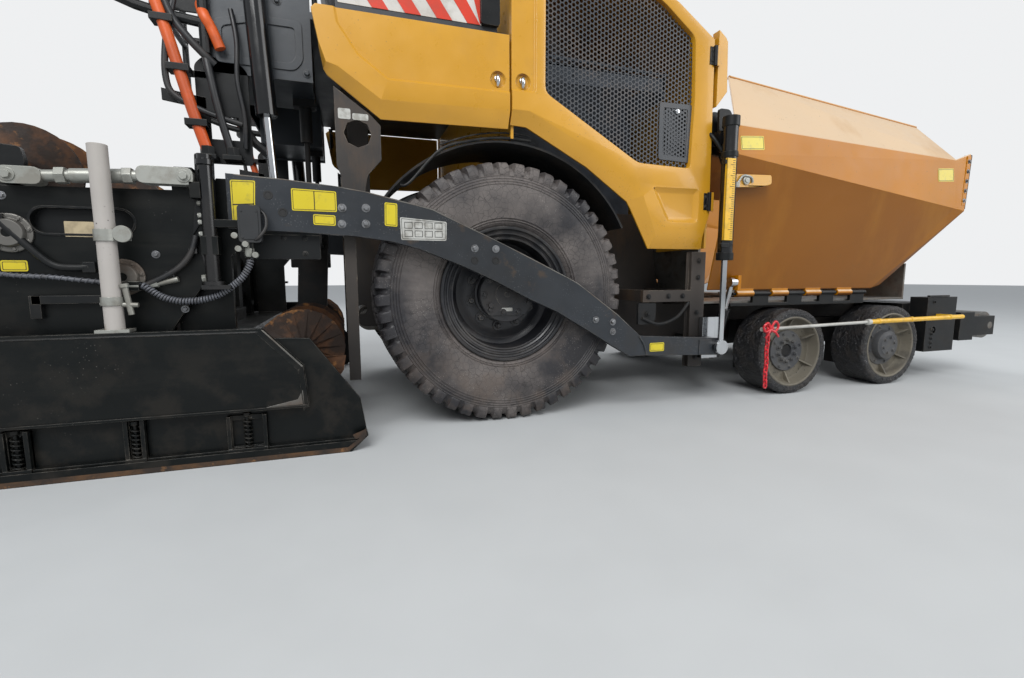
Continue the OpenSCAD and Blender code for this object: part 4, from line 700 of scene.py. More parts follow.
def addFrontRubber(bm, x, rows=34, count=260):
    rings = []
    outline = [(0.098, 0.186), (0.1, 0.195), (0.1005, 0.206), (0.099, 0.216), (0.093, 0.2235)]
    outline += [(0.093 - 0.186 * k / rows, 0.2262) for k in range(1, rows)]
    outline += [(-0.093, 0.2235), (-0.1, 0.212), (-0.1, 0.186)]
    for o, r in outline:
        line = []
        for k in range(count):
            a = k / count * math.tau
            at = Vector((math.cos(a) * 9, o * 42, math.sin(a) * 9))
            rough = noise.noise(at) * 0.5 + noise.noise(at * 2.7) * 0.8
            lift = 0.0035 * rough if r > 0.19 else 0
            line.append(bm.verts.new((x + (r + min(lift, 0.0016)) * math.cos(a),
                frontMiddle + o + (min(lift, 0.001) if o > 0.09 else 0),
                frontUp + (r + min(lift, 0.0016)) * math.sin(a))))
        rings.append(line)
    for one, two in zip(rings, rings[1:] + rings[:1]):
        for k in range(count):
            bm.faces.new((one[k], one[(k + 1) % count], two[(k + 1) % count], two[k]))


for side, sign in sides.items():
    for number, s in frontWheels.items():
        body = f"front_wheel_{number}_{side}"
        bm = bmesh.new()
        addFrontRubber(bm, s["x"])
        rubber = finishPiece(f"frontRubber_{number}_{side}", bm, body, "asphaltRubber",
            sign, smooth=50)
        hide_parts(body)
        bm = bmesh.new()
        addTurned(bm, [(frontMiddle + o, r) for o, r in frontRim["line"]], s["x"], frontUp, 90, closed=True)
        for k in range(frontRim["ribs"]):
            a = math.radians(30 + 360 / frontRim["ribs"] * k)
            along, across = Vector((math.cos(a), 0, math.sin(a))), Vector((-math.sin(a), 0,
                math.cos(a))) * 0.0045
            corners = [(0.112, 0.046), (0.168, 0.046), (0.172, 0.091), (0.16, 0.082), (0.118, 0.056)]
            made = [[bm.verts.new(Vector((s["x"], frontMiddle + o,
                frontUp)) + along * r + across * t) for r, o in corners] for t in (-1, 1)]
            bm.faces.new(made[0])
            bm.faces.new(made[1])
            for i in range(len(corners)):
                j = (i + 1) % len(corners)
                bm.faces.new((made[0][i], made[0][j], made[1][j], made[1][i]))
        finishPiece(f"frontRim_{number}_{side}", bm, body, "khakiRim", sign,
            bevel=0.0015)
        bm = bmesh.new()
        addTurned(bm, [(frontMiddle + 0.02, 0.1)] + [(frontMiddle + o, r) for o, r in s["cover"]], s["x"],
            frontUp, 64)
        for amount, radius, size in (s["outer"], s["inner"]):
            for k in range(amount):
                a = k * math.tau / amount + 0.3
                face = s["face"] if radius < 0.06 or number == 1 else 0.0505
                addBolt(bm, s["x"] + radius * math.cos(a), frontMiddle + face,
                    frontUp + radius * math.sin(a), size)
                if number == 1 and radius < 0.06:
                    addRod(bm, (s["x"] + radius * math.cos(a), frontMiddle + face,
                        frontUp + radius * math.sin(a)), (s["x"] + radius * math.cos(a),
                        frontMiddle + face + 0.018, frontUp + radius * math.sin(a)), 0.0065, 10)
        finishPiece(f"frontHub_{number}_{side}", bm, body, "hubGrey", sign, smooth=30)
print("front wheels made")


# pressed doors: faces of one pressing, carried back to a flat rear face

def inset(points, d):
    made = []
    for i, p in enumerate(points):
        p, a, b = Vector(p), Vector(points[i - 1]), Vector(points[(i + 1) % len(points)])
        one, two = (p - a).normalized(), (b - p).normalized()
        n1, n2 = Vector((-one.y, one.x)), Vector((-two.y, two.x))
        made.append(tuple(p + (n1 + n2) / (1 + n1.dot(n2)) * d))
    return made


def tiles(outline, o, holes=()):
    loops = [list(outline)] + [list(h) for h in holes]
    points = [p for loop in loops for p in loop]
    return [[(points[i][0], o, points[i][1]) for i in t] for t in tessellate_polygon([[Vector((x, z,
        0)) for x, z in loop] for loop in loops])]


# quads between two lines of (along, up), the first at one depth and the second at another
def strip(one, two, oneDepth, twoDepth, closed=False):
    n = len(one) if closed else len(one) - 1
    made = []
    for i in range(n):
        j = (i + 1) % len(one)
        made.append([(one[i][0], oneDepth, one[i][1]), (one[j][0], oneDepth, one[j][1]),
            (two[j][0], twoDepth, two[j][1]), (two[i][0], twoDepth, two[i][1])])
    return made


def addShell(bm, polygons, back):
    front, rear, used = {}, {}, {}
    for polygon in polygons:
        keys = [tuple(round(c, 5) for c in p) for p in polygon]
        keys = [k for i, k in enumerate(keys) if k not in keys[:i]]
        if len(keys) < 3:
            continue
        for k in keys:
            if k not in front:
                front[k] = bm.verts.new(k)
                rear[k] = bm.verts.new((k[0], back, k[2]))
        try:
            bm.faces.new([front[k] for k in keys])
            bm.faces.new([rear[k] for k in reversed(keys)])
        except ValueError:
            continue
        for a, b in zip(keys, keys[1:] + keys[:1]):
            used.setdefault(frozenset((a, b)), []).append((a, b))
    for pairs in used.values():
        if len(pairs) == 1:
            a, b = pairs[0]
            bm.faces.new((front[a], front[b], rear[b], rear[a]))


doorFace, fieldFace, skirtFace, doorBack = 0.828, 0.820, 0.798, 0.79
latch = {"cup": 0.033, "dish": 0.026, "depth": 0.012}


# a round dish pressed into a field, with its rim
def latchDish(x, z):
    outer, inner = ring(x, z, latch["cup"], 28), ring(x, z, latch["dish"], 28)
    floor = fieldFace - latch["depth"]
    return outer, strip(outer, inner, fieldFace, floor, True) + tiles(inner, floor)


serviceDoor = {
    "top": [(-0.717, 1.573), (-0.732, 1.559)],
    "crease": [(-0.712, 1.45), (-0.69, 1.385), (-0.65, 1.374), (-0.503, 1.276), (-0.001, 1.287)],
    "edge": [(-0.7135, 1.448), (-0.7, 1.37), (-0.688, 1.35), (-0.505, 1.214), (-0.001, 1.223)],
    "ridge": [(-0.658, 1.573), (-0.651, 1.522), (-0.582, 1.421), (-0.477, 1.348), (-0.001, 1.354)],
    "field": [(-0.65, 1.573), (-0.643, 1.525), (-0.577, 1.4285), (-0.4745, 1.3562), (-0.001, 1.3622)],
    "corner": (-0.001, 1.574), "latch": (-0.049, 1.401)}
grilleDoor = {
    "crease": [(0.008, 1.294), (0.082, 1.293), (0.371, 1.162), (0.595, 1.045), (0.627, 0.985), (0.699, 0.815),
               (0.957, 0.81), (0.979, 0.88)],
    "edge": [(0.008, 1.24), (0.077, 1.237), (0.357, 1.096), (0.56, 0.96), (0.581, 0.929), (0.679, 0.753),
             (0.975, 0.754), (0.981, 0.879)],
    "rest": [(0.99, 0.914), (0.979, 1.69), (0.783, 1.815), (0.45, 1.96), (0.112, 1.96)],
    "ridge": [(0.112, 1.377), (0.104, 1.366), (0.008, 1.366)],
    "window": [(0.145, 1.935), (0.145, 1.37), (0.595, 1.119), (0.88, 1.112), (0.892, 1.418), (0.883, 1.691),
               (0.715, 1.809), (0.44, 1.935)],
    "recess": [(0.673, 1.027), (0.759, 0.872), (0.925, 0.874), (0.93, 1.029)], "latch": (0.057, 1.404)}


def serviceDoorFaces(s):
    c, e, r, f = s["crease"], s["edge"], s["ridge"], s["field"]
    cup, dish = latchDish(*s["latch"])
    flat = lambda points, o: [(x, o, z) for x, z in points]
    made = [flat([s["top"][0], s["top"][1], c[0], r[1], r[0]], doorFace),
        flat([c[0], c[1], c[2], r[2], r[1]], doorFace)]
    made += [flat([c[2], c[3], r[3], r[2]], doorFace), flat([c[3], c[4], r[4], r[3]], doorFace)]
    made += strip(c, e, doorFace, skirtFace) + strip(r, f, doorFace, fieldFace)
    return made + tiles(f + [s["corner"]], fieldFace, [cup]) + dish


def grilleDoorFaces(s):
    window = roundCorners(s["window"], 0.03, 3)
    lip, rim = inset(window, 0.006), inset(window, 0.011)
    cup, dish = latchDish(*s["latch"])
    recess = roundCorners(s["recess"], 0.02, 3)
    slope, floor = inset(recess, 0.02), inset(recess, 0.026)
    field = [(0.1045, 1.96), (0.1045, 1.38), (0.1, 1.3735), (0.008, 1.3735)]
    outline = s["crease"] + s["rest"] + s["ridge"]
    made = tiles(outline, doorFace, [window, recess])
    made += strip(s["crease"], s["edge"], doorFace, skirtFace)
    made += strip([(0.112, 1.96)] + s["ridge"], field, doorFace, fieldFace)
    made += tiles([(0.008, 1.3735), (0.1, 1.3735), (0.1045, 1.38), (0.1045, 1.96), (0.008, 1.96)],
        fieldFace, [cup])
    made += strip(window, lip, doorFace, doorFace - 0.002, True) + strip(lip, rim, doorFace - 0.002,
        doorFace - 0.016, True)
    made += strip(recess, slope, doorFace, doorFace - 0.013, True) + strip(slope, floor, doorFace - 0.013,
        doorFace - 0.014, True)
    return made + tiles(floor, doorFace - 0.014) + dish


# perforated sheet behind the window: hexagonal cells, each with a round hole of twice six corners
meshSheet = {"pitch": 0.0198, "hole": 0.0079, "front": 0.8085, "back": 0.8065, "corners": 12}
panelSheet = {"pitch": 0.0175, "hole": 0.0058, "front": 0.8105, "back": 0.8092, "corners": 12}
accessPanel = {"corners": [(0.71, 1.152), (0.876, 1.146), (0.882, 1.403), (0.709, 1.399)],
    "frame": (0.8095, 0.8125), "border": 0.022, "sheet": 0.016, "back": (0.79, 0.793), "shadeSheetInset": 0.012}


def insideBy(p, outline):
    best = 9
    for i, a in enumerate(outline):
        a, b = Vector(a), Vector(outline[(i + 1) % len(outline)])
        d = b - a
        best = min(best, (d.x * (p[1] - a.y) - d.y * (p[0] - a.x)) / d.length)
    return best


def addPerforated(bm, outline, s, margin=-0.012):
    pitch, apart = s["pitch"], s["pitch"] * math.sqrt(0.75)
    low = [min(p[i] for p in outline) for i in (0, 1)]
    high = [max(p[i] for p in outline) for i in (0, 1)]
    known = {}

    def corner(x, o, z):
        key = (round(x, 4), o, round(z, 4))
        if key not in known:
            known[key] = bm.verts.new((x, o, z))
        return known[key]

    for i in range(int((high[0] - low[0]) / apart) + 3):
        for k in range(int((high[1] - low[1]) / pitch) + 3):
            x, z = low[0] - apart + i * apart, low[1] - pitch + (k + i % 2 / 2) * pitch
            if insideBy((x, z), outline) < margin:
                continue
            hexagon = ring(x, z, pitch / math.sqrt(3), 6)
            edge = [p for a, b in zip(hexagon, hexagon[1:] + hexagon[:1]) for p in (a,
                ((a[0] + b[0]) / 2, (a[1] + b[1]) / 2))]
            hole = ring(x, z, s["hole"], s["corners"])
            sheets = [([corner(px, o, pz) for px, pz in edge],
                [bm.verts.new((px, o, pz)) for px, pz in hole]) for o in (s["front"], s["back"])]
            for outer, inner in sheets:
                for j in range(s["corners"]):
                    n = (j + 1) % s["corners"]
                    bm.faces.new((outer[j], outer[n], inner[n], inner[j]))
            for j in range(s["corners"]):
                n = (j + 1) % s["corners"]
                bm.faces.new((sheets[0][1][j], sheets[0][1][n], sheets[1][1][n], sheets[1][1][j]))


for side, sign in sides.items():
    body = "service_door_" + side
    bm = bmesh.new()
    addShell(bm, serviceDoorFaces(serviceDoor), doorBack)
    door = finishPiece("serviceDoor_" + side, bm, body, "paverYellow", sign, bevel=0.005,
        steps=3)
    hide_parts(body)
    # hinge knuckle on the inner face
    bm = bmesh.new()
    addRod(bm, (-0.7, 0.776, 1.465), (-0.7, 0.776, 1.55), 0.009)
    addBlock(bm, (-0.708, -0.692), (0.779, 0.795), (1.47, 1.545))
    finishPiece("serviceHinge_" + side, bm, body, "frameBlack", sign)
    body = "grille_door_" + side
    bm = bmesh.new()
    addShell(bm, grilleDoorFaces(grilleDoor), doorBack)
    door = finishPiece("grilleDoor_" + side, bm, body, "paverYellow", sign, bevel=0.005,
        steps=3)
    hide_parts(body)
    bm = bmesh.new()
    addPerforated(bm, grilleDoor["window"], meshSheet)
    sheet = finishPiece("grilleSheet_" + side, bm, body, "meshGrey", sign, smooth=20)
    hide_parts("grille_mesh_" + side)
    for z in (0.931, 1.577):
        bm = bmesh.new()
        addRod(bm, (0.982, 0.834, z), (0.982, 0.834, z + 0.085), 0.009, 24)
        addBlock(bm, (0.955, 0.982), (0.8275, 0.831), (z + 0.004, z + 0.081))
        for up in (0.02, 0.065):
            addBolt(bm, 0.966, 0.831, z + up, 0.007)
        finishPiece(f"grilleHinge_{int(z * 1000)}_{side}", bm, body, "frameBlack", sign,
            bevel=0.001)
    # latches: a chrome collar and a drop-shaped handle in each dish
    for name, (x, z), doorBody in (("service", serviceDoor["latch"], "service_door_" + side),
            ("grille", grilleDoor["latch"], body)):
        bm = bmesh.new()
        floor = fieldFace - latch["depth"]
        addTurned(bm, [(floor - 0.004, 0.013), (floor + 0.004, 0.013), (floor + 0.006, 0.011),
            (floor + 0.006, 0)], x, z + 0.006, 28)
        grip = smoothLine([(x, floor + 0.008, z + 0.017), (x, floor + 0.0115, z + 0.006),
            (x, floor + 0.012, z - 0.01), (x, floor + 0.007, z - 0.024)], 4)
        addSweep(bm, grip, [0.004 + 0.0055 * math.sin(math.pi * min(0.97,
            0.12 + k / (len(grip) - 1) * 0.85)) for k in range(len(grip))], 14)
        finishPiece(f"latch_{name}_{side}", bm, doorBody, "chromeRod", sign, smooth=50)
    # access panel in the sheet's corner, with its lock
    s = accessPanel
    bm = bmesh.new()
    addPlate(bm, roundCorners(s["corners"], 0.014), *s["frame"],
        [roundCorners(inset(s["corners"], s["border"]), 0.006)])
    finishPiece("accessPanel_" + side, bm, body, "meshGrey", sign, bevel=0.001)
    bm = bmesh.new()
    addPerforated(bm, inset(s["corners"], s["sheet"]), panelSheet, 0)
    finishPiece("accessSheet_" + side, bm, body, "meshGrey", sign, smooth=20)
    # a flat black sheet behind the perforated sheet: painted shade seen through its holes
    bm = bmesh.new()
    addPlate(bm, inset(s["corners"], s["shadeSheetInset"]), *s["back"])
    finishPiece("panelShadeSheet_" + side, bm, body, "inkAndShadeBlack", sign)
    bm = bmesh.new()
    addTurned(bm, [(0.812, 0.0115), (0.816, 0.0115), (0.8175, 0.009), (0.8175, 0)], 0.803, 1.366, 24)
    finishPiece("panelLock_" + side, bm, body, "chromeRod", sign)
    # stiffener behind the sheet with a rail over it
    bm = bmesh.new()
    addPlate(bm, [(0.118, 1.455), (0.8, 1.475), (0.8, 1.53), (0.118, 1.54)], 0.715, 0.722)
    addBlock(bm, (0.118, 0.8), (0.69, 0.722), (1.528, 1.537))
    addSweep(bm, [(0.12, 0.73, 1.56), (0.8, 0.73, 1.548)], 0.007, 10)
    for x in (0.2, 0.33, 0.52, 0.7):
        addBolt(bm, x, 0.722, 1.5, 0.012)
    addBlock(bm, (0.115, 0.135), (0.4, 0.722), (1.45, 1.545))
    addBlock(bm, (0.785, 0.8), (0.4, 0.722), (1.45, 1.545))
    finishPiece("stiffener_" + side, bm, "machine", "engineGrey", sign, bevel=0.0015)
print("doors made")


# where the CAD skin lies at an (along, up) point, seen from the machine's right
def onSkin(node, x, z, lift=0.0):
    hit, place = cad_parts[node].ray_cast((x + rearAxleX, -3, z), (0, 1, 0))[:2]
    return x, (-place.y if hit else 0.85) + lift, z


# a thin sheet over free points, with its thickness along the machine's width
def addSheet(bm, points, thick):
    front = [bm.verts.new(p) for p in points]
    back = [bm.verts.new((x, o - thick, z)) for x, o, z in points]
    bm.faces.new(front)
    bm.faces.new(back[::-1])
    for i in range(len(points)):
        j = (i + 1) % len(points)
        bm.faces.new((front[i], front[j], back[j], back[i]))


labelEdge = {"corner": 0.006, "rim": 0.004, "line": 0.0016, "thick": 0.0012}


# a blank label on a flat plate: its sheet, and a fine dark line round the edge
def addLabel(name, corners, o, body, finish="labelYellow", line=True):
    s = labelEdge
    outline = roundCorners(corners, s["corner"], 3)
    bm = bmesh.new()
    addPlate(bm, outline, o - 0.0006, o + s["thick"])
    finishPiece(name, bm, body, finish)
    if line:
        bm = bmesh.new()
        outer = roundCorners(insetBy(corners, s["rim"]), s["corner"] * 0.6, 3)
        inner = roundCorners(insetBy(corners, s["rim"] + s["line"]), s["corner"] * 0.5, 3)
        addPlate(bm, outer, o, o + s["thick"] + 0.0004, [inner])
        finishPiece(name + "Line", bm, body, "inkAndShadeBlack")


def insetBy(points, d):
    area = sum(a[0] * b[1] - b[0] * a[1] for a, b in zip(points, points[1:] + points[:1]))
    return inset(points, d if area > 0 else -d)


# tow arms: labels, bolts, the worn line along the upper edge

armFace = 0.870
armEdge = [(-1.0, 0.972), (-0.953, 0.969), (-0.847, 0.964), (-0.675, 0.949), (-0.575, 0.936),
    (-0.448, 0.909), (-0.328, 0.882), (-0.223, 0.835), (-0.114, 0.788), (0.038, 0.719), (0.198, 0.643),
    (0.289, 0.598), (0.394, 0.524), (0.485, 0.459), (0.604, 0.358)]
armLabels = {"labelRear": [(-1.012, 0.795), (-0.944, 0.807), (-0.935, 0.953), (-1.012, 0.952)],
             "labelWide": [(-0.824, 0.858), (-0.675, 0.858), (-0.675, 0.93), (-0.824, 0.934)],
             "labelSmall": [(-0.756, 0.811), (-0.681, 0.809), (-0.681, 0.846), (-0.756, 0.848)],
             "labelTall": [(-0.509, 0.815), (-0.463, 0.812), (-0.461, 0.897), (-0.507, 0.9)],
             "labelFront": [(0.657, 0.282), (0.734, 0.282), (0.734, 0.322), (0.657, 0.322)]}
for name, corners in armLabels.items():
    addLabel(name, corners, armFace, "screed")
# a two-part label has a dark bar across it
bm = bmesh.new()
addPlate(bm, [(-1.009, 0.868), (-0.942, 0.873), (-0.942, 0.877), (-1.009, 0.872)], armFace, armFace + 0.0016)
addPlate(bm, [(-0.751, 0.862), (-0.748, 0.862), (-0.748, 0.928), (-0.751, 0.928)], armFace, armFace + 0.0016)
finishPiece("labelBars", bm, "screed", "inkAndShadeBlack")
addLabel("armPlate", [(-0.45, 0.764), (-0.278, 0.764), (-0.276, 0.836), (-0.453, 0.848)], armFace,
    "screed", "labelPale")
bm = bmesh.new()
for i in range(4):
    for k in range(2):
        x, z = -0.437 + i * 0.038, 0.776 + k * 0.031
        addPlate(bm, [(x, z), (x + 0.03, z), (x + 0.03, z + 0.024), (x, z + 0.024)], armFace,
            armFace + 0.0016, [[(x + 0.002, z + 0.002), (x + 0.028, z + 0.002), (x + 0.028, z + 0.022),
            (x + 0.002, z + 0.022)]])
finishPiece("armPlateGrid", bm, "screed", "inkAndShadeBlack")
for side, sign in sides.items():
    boltRow("armBolts_" + side, [(-0.657, 0.873), (-0.574, 0.876), (-0.66, 0.816), (-0.576, 0.819),
        (-0.165, 0.737), (-0.078, 0.736), (0.378, 0.438), (0.462, 0.425), (0.463, 0.382)], armFace,
        "screed", sign, 0.016)
    # holes in the arm: a rim and a flat black disc, painted shade for the hole's dark inside
    bm = bmesh.new()
    for x, z in ((-0.898, 0.907), (-0.854, 0.85), (-0.165, 0.69), (-0.078, 0.69)):
        addTurned(bm, [(armFace - 0.001, 0.016), (armFace + 0.0015, 0.015), (armFace + 0.0015, 0.0105),
            (armFace + 0.0002, 0.0095), (armFace + 0.0002, 0)], x, z, 24)
    finishPiece("armHoles_" + side, bm, "screed", "inkAndShadeBlack", sign)
    # bare metal along the upper corner, uneven as it is rubbed
    bm = bmesh.new()
    upper = [p for a, b in zip(armEdge, armEdge[1:]) for p in (a, ((a[0] + b[0]) / 2, (a[1] + b[1]) / 2))]
    width = [0.0035 + 0.003 * noise.noise(Vector((x * 19, 0, 0))) for x, z in upper]
    lower = [(x - w * 0.5, z - w) for (x, z), w in zip(upper, width)]
    for a, b, c, d in zip(upper, upper[1:], lower[1:], lower):
        addSheet(bm, [(a[0], armFace + 0.0006, a[1] - 0.0006), (b[0], armFace + 0.0006, b[1] - 0.0006),
            (c[0], armFace + 0.0006, c[1]), (d[0], armFace + 0.0006, d[1])], 0.0012)
    finishPiece("armWear_" + side, bm, "screed", "wornSteel", sign)
    # weld bead and doubler round the arm's joint with the front link
    bm = bmesh.new()
    bead = smoothLine([(0.6, armFace + 0.001, 0.354), (0.625, armFace + 0.002, 0.315),
        (0.64, armFace + 0.001, 0.27)], 5)
    addSweep(bm, bead, [0.004 + 0.0012 * math.sin(k * 2.1) for k in range(len(bead))], 8)
    addBlock(bm, (0.93, 1.0), (armFace - 0.002, armFace + 0.004), (0.255, 0.325))
    finishPiece("armBead_" + side, bm, "screed", "armBlack", sign)
print("arms dressed")

# levelling cylinders: a yellow ruler with ticks in front, collars, clamps and the upper bracket

ruler = {"x": (0.999, 1.047), "o": 0.9215, "z": (0.79, 1.155), "ticks": 37}
for side, sign in sides.items():
    bm = bmesh.new()
    for bottom, top, r in ((0.7, 0.735, 0.0385), (1.165, 1.19, 0.0375), (1.3, 1.345, 0.0385)):
        addRod(bm, (1.04, 0.887, bottom), (1.04, 0.887, top), r, 40)
    for z in (0.76, 1.13):
        addBlock(bm, (0.99, 1.055), (0.905, 0.9205), (z, z + 0.018))
    addSweep(bm, smoothLine([(1.02, 0.86, 1.2), (0.985, 0.84, 1.26), (0.975, 0.8, 1.3)], 5), 0.009, 10)
    addSweep(bm, smoothLine([(1.065, 0.86, 0.76), (1.09, 0.84, 0.84), (1.088, 0.83, 1.05),
        (1.06, 0.8, 1.2)], 6), 0.0085, 10)
    finishPiece("levellingCollars_" + side, bm, "machine", "frameBlack", sign, bevel=0.002)
    bm = bmesh.new()
    for x, z, r in ((1.115, 1.262, 0.017), (1.115, 1.352, 0.017), (1.02, 1.262, 0.012)):
        addRod(bm, (x - 0.05, 0.79, z), (x + 0.028, 0.79, z), r, 20)
    addPlate(bm, roundCorners([(1.035, 1.21), (1.1, 1.2), (1.118, 1.26), (1.118, 1.36), (1.09, 1.402),
        (1.03, 1.402)], 0.014), 0.75, 0.768)
    addPlate(bm, roundCorners([(1.035, 1.21), (1.1, 1.2), (1.118, 1.26), (1.118, 1.36), (1.09, 1.402),
        (1.03, 1.402)], 0.014), 0.805, 0.82)
    finishPiece("levellingBracket_" + side, bm, "machine", "frameBlack", sign, bevel=0.002)
s = ruler
bm = bmesh.new()
addBlock(bm, s["x"], (s["o"] - 0.002, s["o"] + 0.001), s["z"])
addBlock(bm, (s["x"][0], s["x"][0] + 0.003), (s["o"] - 0.012, s["o"] + 0.001), s["z"])
finishPiece("levelRuler", bm, "machine", "scaleYellow", bevel=0.0008)
bm = bmesh.new()
step = (s["z"][1] - s["z"][0]) / (s["ticks"] + 1)
for k in range(s["ticks"]):
    z = s["z"][0] + step * (k + 1)
    reach = 0.024 if k % 5 == 4 else 0.013
    addBlock(bm, (s["x"][1] - 0.003 - reach, s["x"][1] - 0.003), (s["o"] + 0.0004, s["o"] + 0.0016),
        (z - 0.0011, z + 0.0011))
finishPiece("rulerTicks", bm, "machine", "inkAndShadeBlack")
print("levelling cylinders dressed")

# guide rods in front: a pale rod in a yellow sleeve, with a red chain tied on its rear end

guideRod = {"o": 0.915, "links": 15, "wire": 0.0042, "round": 0.0085, "long": 0.011}
for side, sign in sides.items():
    s = guideRod
    bm = bmesh.new()
    addRod(bm, (1.262, s["o"], 0.368), (1.992, s["o"], 0.382), 0.008, 20)
    addRod(bm, (1.258, s["o"], 0.368), (1.27, s["o"], 0.3682), 0.0105, 20)
    addRod(bm, (1.97, s["o"], 0.3815), (1.995, s["o"], 0.382), 0.0155, 20)
    rod = finishPiece("guideRod_" + side, bm, "machine", "rodWhite", sign, bevel=0.001)
    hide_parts("guide_rods")
    bm = bmesh.new()
    addRod(bm, (1.992, s["o"], 0.382), (2.74, s["o"], 0.39), 0.0125, 24)
    addBlock(bm, (2.702, 2.74), (0.8, s["o"]), (0.38, 0.398))
    for x in (2.05, 2.3, 2.62):
        addRod(bm, (x, s["o"], 0.3826 + (x - 2) * 0.011), (x + 0.02, s["o"], 0.383 + (x - 2) * 0.011),
            0.0145, 20)
    finishPiece("guideSleeve_" + side, bm, "machine", "scaleYellow", sign, bevel=0.001)
    bm = bmesh.new()
    # the chain hangs in links turned by a quarter each time
    for k in range(s["links"]):
        z, turned = 0.349 - k * 0.0188, k % 2
        loop = []
        for i in range(17):
            a = i / 16 * math.tau
            across = s["round"] * math.cos(a)
            up = s["round"] * math.sin(a) + s["long"] * (1 if math.sin(a) > 0 else -1) * 0.35
            loop.append((1.3 + (0 if turned else across) + 0.002 * math.sin(k),
                s["o"] + (across if turned else 0), z + up))
        addSweep(bm, loop, s["wire"], 7)
    # the knot: turns round the rod, two loops and two ends
    for k in range(4):
        x = 1.285 + k * 0.011
        turnRound = [(x + 0.003 * math.sin(3 * i), s["o"] + 0.0135 * math.cos(i / 12 * math.tau),
            0.3685 + 0.0135 * math.sin(i / 12 * math.tau)) for i in range(13)]
        addSweep(bm, turnRound, 0.0055, 7)
    for way, tall in ((-1, 0.03), (1, 0.036)):
        loop = smoothLine([(1.3, s["o"] + 0.014, 0.37), (1.3 + way * 0.022, s["o"] + 0.02, 0.37 + tall),
            (1.3 + way * 0.045, s["o"] + 0.018, 0.366 + tall * 0.5),
            (1.3 + way * 0.03, s["o"] + 0.016, 0.358), (1.3, s["o"] + 0.014, 0.366)], 5)
        addSweep(bm, loop, 0.006, 7)
    for end in ((1.355, 0.33), (1.276, 0.325)):
        addSweep(bm, smoothLine([(1.3, s["o"] + 0.014, 0.366), ((1.3 + end[0]) / 2, s["o"] + 0.02, 0.352),
            (end[0], s["o"] + 0.012, end[1])], 5), 0.0055, 7)
    finishPiece("redChain_" + side, bm, "machine", "chainRed", sign, smooth=60)
print("guide rods made")

# hopper wings: lip, rubber edge, lock handle, blank labels

wing = {"lip": 0.011, "rubber": (0.79, 0.822), "strip": (0.826, 0.834), "bolts": 5, "boltStep": 0.055}
wingLabels = {"wingLabelRear": [(1.119, 1.21), (1.26, 1.221), (1.255, 1.285), (1.115, 1.273)],
    "wingLabelFront": [(2.546, 1.154), (2.683, 1.162), (2.671, 1.234), (2.535, 1.225)]}
for name, corners in wingLabels.items():
    outline = roundCorners(corners, 0.006, 3)
    bm = bmesh.new()
    addSheet(bm, [onSkin("wing_right", x, z, 0.0012) for x, z in outline], 0.002)
    finishPiece(name, bm, "wing_right", "labelYellow")
    line, within = roundCorners(insetBy(corners, 0.004), 0.004, 3), roundCorners(insetBy(corners, 0.0058),
        0.004, 3)
    bm = bmesh.new()
    for a, b, c, d in zip(line, line[1:] + line[:1], within[1:] + within[:1], within):
        addSheet(bm, [onSkin("wing_right", x, z, 0.0018) for x, z in (a, b, c, d)], 0.001)
    finishPiece(name + "Line", bm, "wing_right", "inkAndShadeBlack")
for side, sign in sides.items():
    body = "wing_" + side
    # rolled lip along the top
    bm = bmesh.new()
    addSweep(bm, [(1.301, 0.56, 1.661), (2.734, 0.56, 1.535)], wing["lip"], 12)
    finishPiece("wingLip_" + side, bm, body, "wingYellow", sign)
    # rubber edge on the front flange, held by a bolted strip
    bm = bmesh.new()
    addPlate(bm, [(2.806, 1.012), (2.826, 1.014), (2.842, 1.322), (2.82, 1.324)], *wing["rubber"])
    finishPiece("wingRubber_" + side, bm, body, "asphaltRubber", sign, bevel=0.003)
    bm = bmesh.new()
    addPlate(bm, [(2.768, 1.03), (2.8, 1.03), (2.812, 1.31), (2.78, 1.31)], *wing["strip"])
    finishPiece("wingEdgeStrip_" + side, bm, body, "wingYellow", sign, bevel=0.001)
    rows = [(2.786 + 0.011 * k / 4, 1.06 + wing["boltStep"] * k) for k in range(wing["bolts"])]
    boltRow("wingEdgeBolts_" + side, rows, wing["strip"][1], body, sign, 0.013)
    # lock handle on its plate
    bm = bmesh.new()
    addPlate(bm, roundCorners([(1.068, 1.036), (1.24, 1.046), (1.3, 1.062), (1.296, 1.104),
        (1.07, 1.096)], 0.012), 0.868, 0.884)
    finishPiece("wingHandle_" + side, bm, body, "paverYellow", sign, bevel=0.003, steps=3)
    bm = bmesh.new()
    addRod(bm, (1.142, 0.875, 1.07), (1.142, 0.893, 1.07), 0.019, 28)
    addRod(bm, (1.142, 0.893, 1.07), (1.142, 0.897, 1.07), 0.011, 20)
    addSweep(bm, smoothLine([(1.09, 0.889, 1.05), (1.115, 0.892, 1.086), (1.142, 0.893, 1.09),
        (1.17, 0.892, 1.082), (1.178, 0.89, 1.062)], 5), 0.0055, 9)
    addBlock(bm, (1.08, 1.1), (0.875, 0.895), (1.036, 1.06))
    finishPiece("wingLock_" + side, bm, body, "zincPlate", sign, bevel=0.001)
print("wings dressed")

# screed side: posts, turnbuckle, flanges, slot rim, sensor, fittings, stored flights


# profile of (up, radius) turned round an upright axis
def addUpright(bm, profile, x, o, n=32):
    rings = []
    for z, r in profile:
        if r < 1e-6:
            rings.append([bm.verts.new((x, o, z))] * n)
        else:
            rings.append([bm.verts.new((x + r * math.cos(k * math.tau / n),
                o + r * math.sin(k * math.tau / n), z)) for k in range(n)])
    for one, two in zip(rings, rings[1:]):
        for k in range(n):
            corners = [one[k], one[(k + 1) % n], two[(k + 1) % n], two[k]]
            corners = [c for i, c in enumerate(corners) if c not in corners[:i]]
            if len(corners) > 2:
                bm.faces.new(corners)
    for end in (rings[0], rings[-1]):
        if end[0] is not end[1]:
            bm.faces.new(end)


